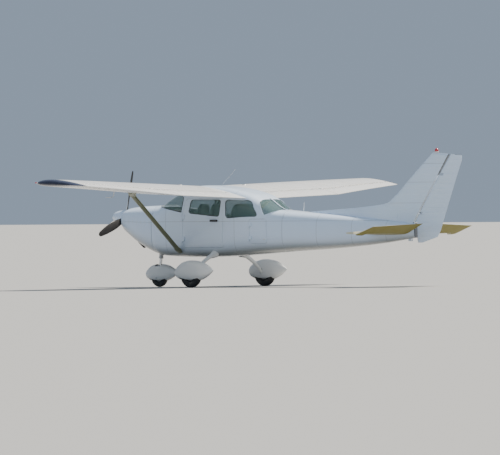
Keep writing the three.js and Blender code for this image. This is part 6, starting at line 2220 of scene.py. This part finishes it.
@dataclass
class Furniture:
    """Seats, instrument panel and control wheels."""

    voxel: float = 0.010
    frames: int = 16
    swell: float = 0.016
    seats: tuple[tuple[str, float, float, float, float], ...] = (
        ("seat_left", 2.215, -0.255, 0.205, 1.790),
        ("seat_right", 2.165, 0.255, 0.205, 1.740),
        ("rear_bench", 3.010, 0.0, 0.440, 2.600),
    )
    dial_radius: float = 0.031
    dial_pitch: float = 0.092
    wheel_out: float = 0.255
    wheel_up: float = 1.262

    def build(self) -> None:
        """Builds the furniture."""
        for seat in self.seats:
            self._seat(*seat)
        self._panel()

    def _cushion(self, corners: Sequence[Sequence[float]], out: float, half: float) -> Solid:
        """A cushion between four corners of its side view.

        Its side view is a four-cornered patch. Points of a ball, pushed out by a power mean to a
        rounded block, give the shares along the two edges and across, and the sides draw in a
        little towards both broad faces.
        """
        sphere = ball(34, 56)
        block = sphere / (np.abs(sphere) ** 5).sum(-1, keepdims=True) ** 0.2
        a, b, c = np.moveaxis(block, -1, 0)
        u, w = (a + 1) / 2, (c + 1) / 2
        p = np.array(corners, float)
        low = p[0] * (1 - u[..., None]) + p[1] * u[..., None]
        high = p[3] * (1 - u[..., None]) + p[2] * u[..., None]
        mix = low * (1 - w[..., None]) + high * w[..., None]
        pinch = 1 - 0.03 * np.abs(c) ** 3
        return loft(xyz(x_at(mix[..., 0]), out + b * half * pinch, mix[..., 1]))

    def _padded(self, name: str, solid: Solid) -> None:
        """A cushion, blown up by a short cloth simulation."""
        piece = put(name, solid, SEAT, Slot.SEAT)
        self._inflate(piece)

    def _inflate(self, piece: bpy.types.Object) -> None:
        """Remeshes the piece, blows it up a little as cloth, and caps how far each point moved."""
        remesh = piece.modifiers.new("remesh", "REMESH")
        remesh.mode, remesh.voxel_size = "VOXEL", self.voxel
        self._apply(piece)
        start = np.empty(len(piece.data.vertices) * 3)
        piece.data.vertices.foreach_get("co", start)
        cloth = piece.modifiers.new("cloth", "CLOTH")
        cloth.settings.use_pressure = True
        cloth.settings.uniform_pressure_force = 4.0
        cloth.settings.quality = 4
        cloth.settings.effector_weights.gravity = 0.0
        cloth.point_cache.frame_end = self.frames
        scene = bpy.context.scene
        for frame in range(1, self.frames + 1):
            scene.frame_set(frame)
        self._apply(piece)
        scene.frame_set(1)
        end = np.empty_like(start)
        piece.data.vertices.foreach_get("co", end)
        start, end = start.reshape(-1, 3), end.reshape(-1, 3)
        moved = end - start
        length = np.linalg.norm(moved, axis=1, keepdims=True)
        moved *= np.minimum(1, self.swell / np.maximum(length, 1e-9))
        piece.data.vertices.foreach_set("co", (start + moved).astype(np.float32).ravel())
        piece.data.polygons.foreach_set("use_smooth", np.ones(len(piece.data.polygons), bool))
        piece.data.update()
        smooth = piece.modifiers.new("smooth", "SUBSURF")
        smooth.levels = smooth.render_levels = 1

    @staticmethod
    def _apply(piece: bpy.types.Object) -> None:
        """Replaces the piece's mesh by its evaluated one and drops its modifiers."""
        graph = bpy.context.evaluated_depsgraph_get()
        made = bpy.data.meshes.new_from_object(piece.evaluated_get(graph), depsgraph=graph)
        piece.modifiers.clear()
        made.materials.clear()
        made.materials.append(PALETTE.of(SEAT))
        piece.data = made

    def _seat(self, node: str, back: float, out: float, half: float, front: float) -> None:
        """A seat: two cushions on a plain base, by its back, its middle, half width and front."""
        less = 0.012
        cushion = ((front + less, 0.912), (back + 0.05, 0.885), (back + 0.05, 0.998), (front + 0.03, 1.022))
        rest = ((back + 0.012, 0.990), (back + 0.100, 0.972), (back + 0.212, 1.640), (back + 0.140, 1.648))
        self._padded(f"{node}_cushion", self._cushion(cushion, out, half - less))
        self._padded(f"{node}_rest", self._cushion(rest, out, half - less))
        width = 0.40 if half > 0.3 else half - 0.05
        legs = []
        for aft in (front + 0.080, back + 0.030):
            for sign in (1, -1):
                foot = float(smooth_through(np.array(aft), FORM.aft, FORM.bottom)) + 0.060
                path = xyz(x_at(aft), out + sign * (width - 0.03), np.linspace(foot, 0.900, 5))
                legs.append(tube(path, 0.012, 14))
        low, high = (x_at(front + 0.03), out - width, 0.884), (x_at(back + 0.05), out + width, 0.906)
        plate = slab(low, high, 0.006, 9)
        put(f"{node}_base", joined([*legs, plate]), DARK, Slot.PANEL, node)

    def _panel(self) -> None:
        """The panel's board and hood, dials with plain marks, and the two control wheels."""
        board = slab((x_at(1.700), -0.475, 1.085), (x_at(1.728), 0.475, 1.480), 0.008, 12)
        across, along = np.meshgrid(np.linspace(-0.46, 0.46, 40), np.linspace(1.42, 1.750, 20))
        hood_up = 1.505 - 0.25 * across**2 + 0.02 * np.sin((along - 1.42) / 0.33 * math.pi)
        hood = shell(xyz(x_at(along), -across, hood_up), 0.012)
        put("panel_board", joined([board, hood]), DARK, Slot.PANEL, "instrument_panel")
        self._dials()
        for side in Side:
            self._wheel(side)

    def _dials(self) -> None:
        """Two rows of round dials on the left and radios in the middle, with generic marks only."""
        face_x = x_at(1.7285)
        face = [[0.0004, -0.002], [0.038, -0.002], [0.038, 0.002], [0.0004, 0.002]]
        bezel = [[0.037, -0.002], [0.0425, -0.002], [0.0425, 0.006], [0.0385, 0.006]]
        faces, rings, marks = [], [], []
        pitch = self.dial_pitch
        spots = [(-0.40 + pitch * i, 1.40 - pitch * j) for j in range(2) for i in range(4)]
        spots += [(0.20 + 0.075 * i, 1.41) for i in range(3)]
        for y, z in spots:
            for pieces, profile in ((faces, face), (rings, bezel)):
                pieces.append(lathed(np.array(profile), 40, np.eye(3), (face_x, y, z)))
            for number in range(10):
                a = number * math.pi / 5
                out, up = y + self.dial_radius * math.sin(a), z + self.dial_radius * math.cos(a)
                middle = np.array([face_x + 0.0026, out, up])
                marks.append(slab(middle - 0.0012, middle + 0.0012, 0.0003, 4))
            hand = np.linspace((face_x + 0.0032, y, z), (face_x + 0.0032, y + 0.016, z + 0.018), 3)
            marks.append(tube(hand, 0.0009, 6))
        for row in range(4):
            low = 1.385 - row * 0.052
            rings.append(slab((face_x - 0.004, -0.020, low), (face_x + 0.008, 0.150, low + 0.044), 0.003, 9))
        put("panel_dials", joined(faces), DIAL, Slot.PANEL)
        put("panel_bezels", joined(rings), LINING, Slot.PANEL)
        put("panel_marks", joined(marks), MARK, Slot.PANEL)

    def _wheel(self, side: Side) -> None:
        """A control wheel: a column, and a bar with two upturned horns."""
        out, up = self.wheel_out, self.wheel_up
        column = tube(np.linspace((x_at(1.725), out, up), (x_at(1.832), out, up), 4), 0.012, 18)
        t = np.linspace(-1, 1, 41)
        x, y = x_at(1.832 - 0.012 * np.abs(t) ** 3), out + 0.148 * np.sin(t * 1.35) / math.sin(1.35)
        wheel = tube(xyz(x, y, up - 0.002 + 0.110 * np.abs(t) ** 5), 0.0125, 16)
        hub = slab((x_at(1.822), out - 0.035, up - 0.024), (x_at(1.846), out + 0.035, up + 0.024), 0.006, 8)
        put(f"control_wheel_{side.word}", joined([column, wheel, hub]).on(side), DARK, Slot.PANEL)


# Setting


@dataclass
class Studio:
    """Floor, lights and camera."""

    camera_x: float = 102.11
    camera_y: float = -148.24
    camera_up: float = 1.70
    azimuth: float = 34.78
    down: float = 0.171
    roll: float = 0.44
    focal_pixels: float = 9215.0
    image_width: float = 500.0
    sensor: float = 36.0
    sky: Colour = (0.62, 0.78, 1.0)
    sky_strength: float = 0.44

    def build(self) -> None:
        """Builds the setting."""
        self._floor()
        self._lights()
        self._camera()

    @staticmethod
    def _floor() -> None:
        """A wide pale floor."""
        reach, depth = 400.0, -0.0015
        corner = [(x * reach, y * reach, depth) for x, y in ((-1, -1), (1, -1), (1, 1), (-1, 1))]
        mesh = bpy.data.meshes.new("floor")
        mesh.from_pydata(corner, [], [(0, 1, 2, 3)])
        shader = Shader("studio floor")
        patch = shader.noise(0.4, 3)
        colour = shader.mix(patch * 0.3, (0.36, 0.36, 0.355), (0.33, 0.33, 0.325))
        shader.set(Base_Color=colour, Roughness=0.9)
        mesh.materials.append(shader.material)
        floor = bpy.data.objects.new("floor", mesh)
        bpy.context.scene.collection.objects.link(floor)

    @staticmethod
    def _sun(name: str, direction: Vector, energy: float, colour: Colour, angle: float) -> None:
        """A far light that shines along a direction."""
        data = bpy.data.lights.new(name, "SUN")
        data.energy, data.color, data.angle = energy, colour, math.radians(angle)
        light = bpy.data.objects.new(name, data)
        light.rotation_mode = "QUATERNION"
        light.rotation_quaternion = direction.to_track_quat("-Z", "Y")
        bpy.context.scene.collection.objects.link(light)

    def _lights(self) -> None:
        """A pale sky, a soft warm key from behind and above, and a cool fill from the camera's side."""
        world = bpy.data.worlds.new("studio")
        bpy.context.scene.world = world
        world.use_nodes = True
        background = world.node_tree.nodes["Background"]
        background.inputs["Color"].default_value = (*self.sky, 1)
        background.inputs["Strength"].default_value = self.sky_strength
        self._sun("key", Vector((-0.20, -0.55, -0.85)), 8.5, (1.0, 0.93, 0.82), 12)
        self._sun("fill", Vector((-0.35, 0.85, -0.42)), 0.45, (0.72, 0.86, 1.0), 60)

    def _camera(self) -> None:
        """The camera that matches the photo: far off, level with the cabin."""
        data = bpy.data.cameras.new("camera")
        data.sensor_fit, data.sensor_width = "HORIZONTAL", self.sensor
        data.lens = self.focal_pixels * self.sensor / self.image_width
        data.clip_start, data.clip_end = 1.0, 1500.0
        camera = bpy.data.objects.new("camera", data)
        a, d, r = math.radians(self.azimuth), math.radians(self.down), math.radians(self.roll)
        forward = Vector((-math.sin(a) * math.cos(d), math.cos(a) * math.cos(d), -math.sin(d)))
        right = forward.cross(Vector((0, 0, 1))).normalized()
        above = right.cross(forward)
        above = (above * math.cos(r) + right * math.sin(r)).normalized()
        right = forward.cross(above)
        turn = [[right[k], above[k], -forward[k]] for k in range(3)]
        camera.rotation_mode = "QUATERNION"
        camera.rotation_quaternion = Matrix(turn).to_quaternion()
        camera.location = (self.camera_x, self.camera_y, self.camera_up)
        bpy.context.scene.collection.objects.link(camera)
        bpy.context.scene.camera = camera


@dataclass
class Carried:
    """Finishes of the solids that stay as they are."""

    finishes: dict[str, object] = field(
        default_factory=lambda: {
            "door_handle_right": DARK,
            "door_handle_left": DARK,
            "engine_block": IRON,
            "aerial_whip": STEEL,
            "aerial_rear": AERIAL,
        }
    )

    def dress(self, frame: dict) -> None:
        """Gives each of those solids its material."""
        for name, finish in self.finishes.items():
            node = frame["nodes"][name]
            node.data.materials.clear()
            node.data.materials.append(PALETTE.of(finish))
            LOG.info("%s: dressed", name)


def corners(bounds: tuple[Vector, Vector]) -> list[list[float]]:
    """A box's two corners as plain lists."""
    return [list(bounds[0]), list(bounds[1])]


def main() -> None:
    """Builds the aircraft and its setting."""
    logging.basicConfig(level=logging.INFO, format="%(name)s: %(message)s")
    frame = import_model()
    Studio().build()
    Carried().dress(frame)
    for part in (Cabin(), Nose(), TailCone(), Wing(), Tail(), Undercarriage(), Furniture()):
        part.build()


if __name__ == "__main__":
    main()
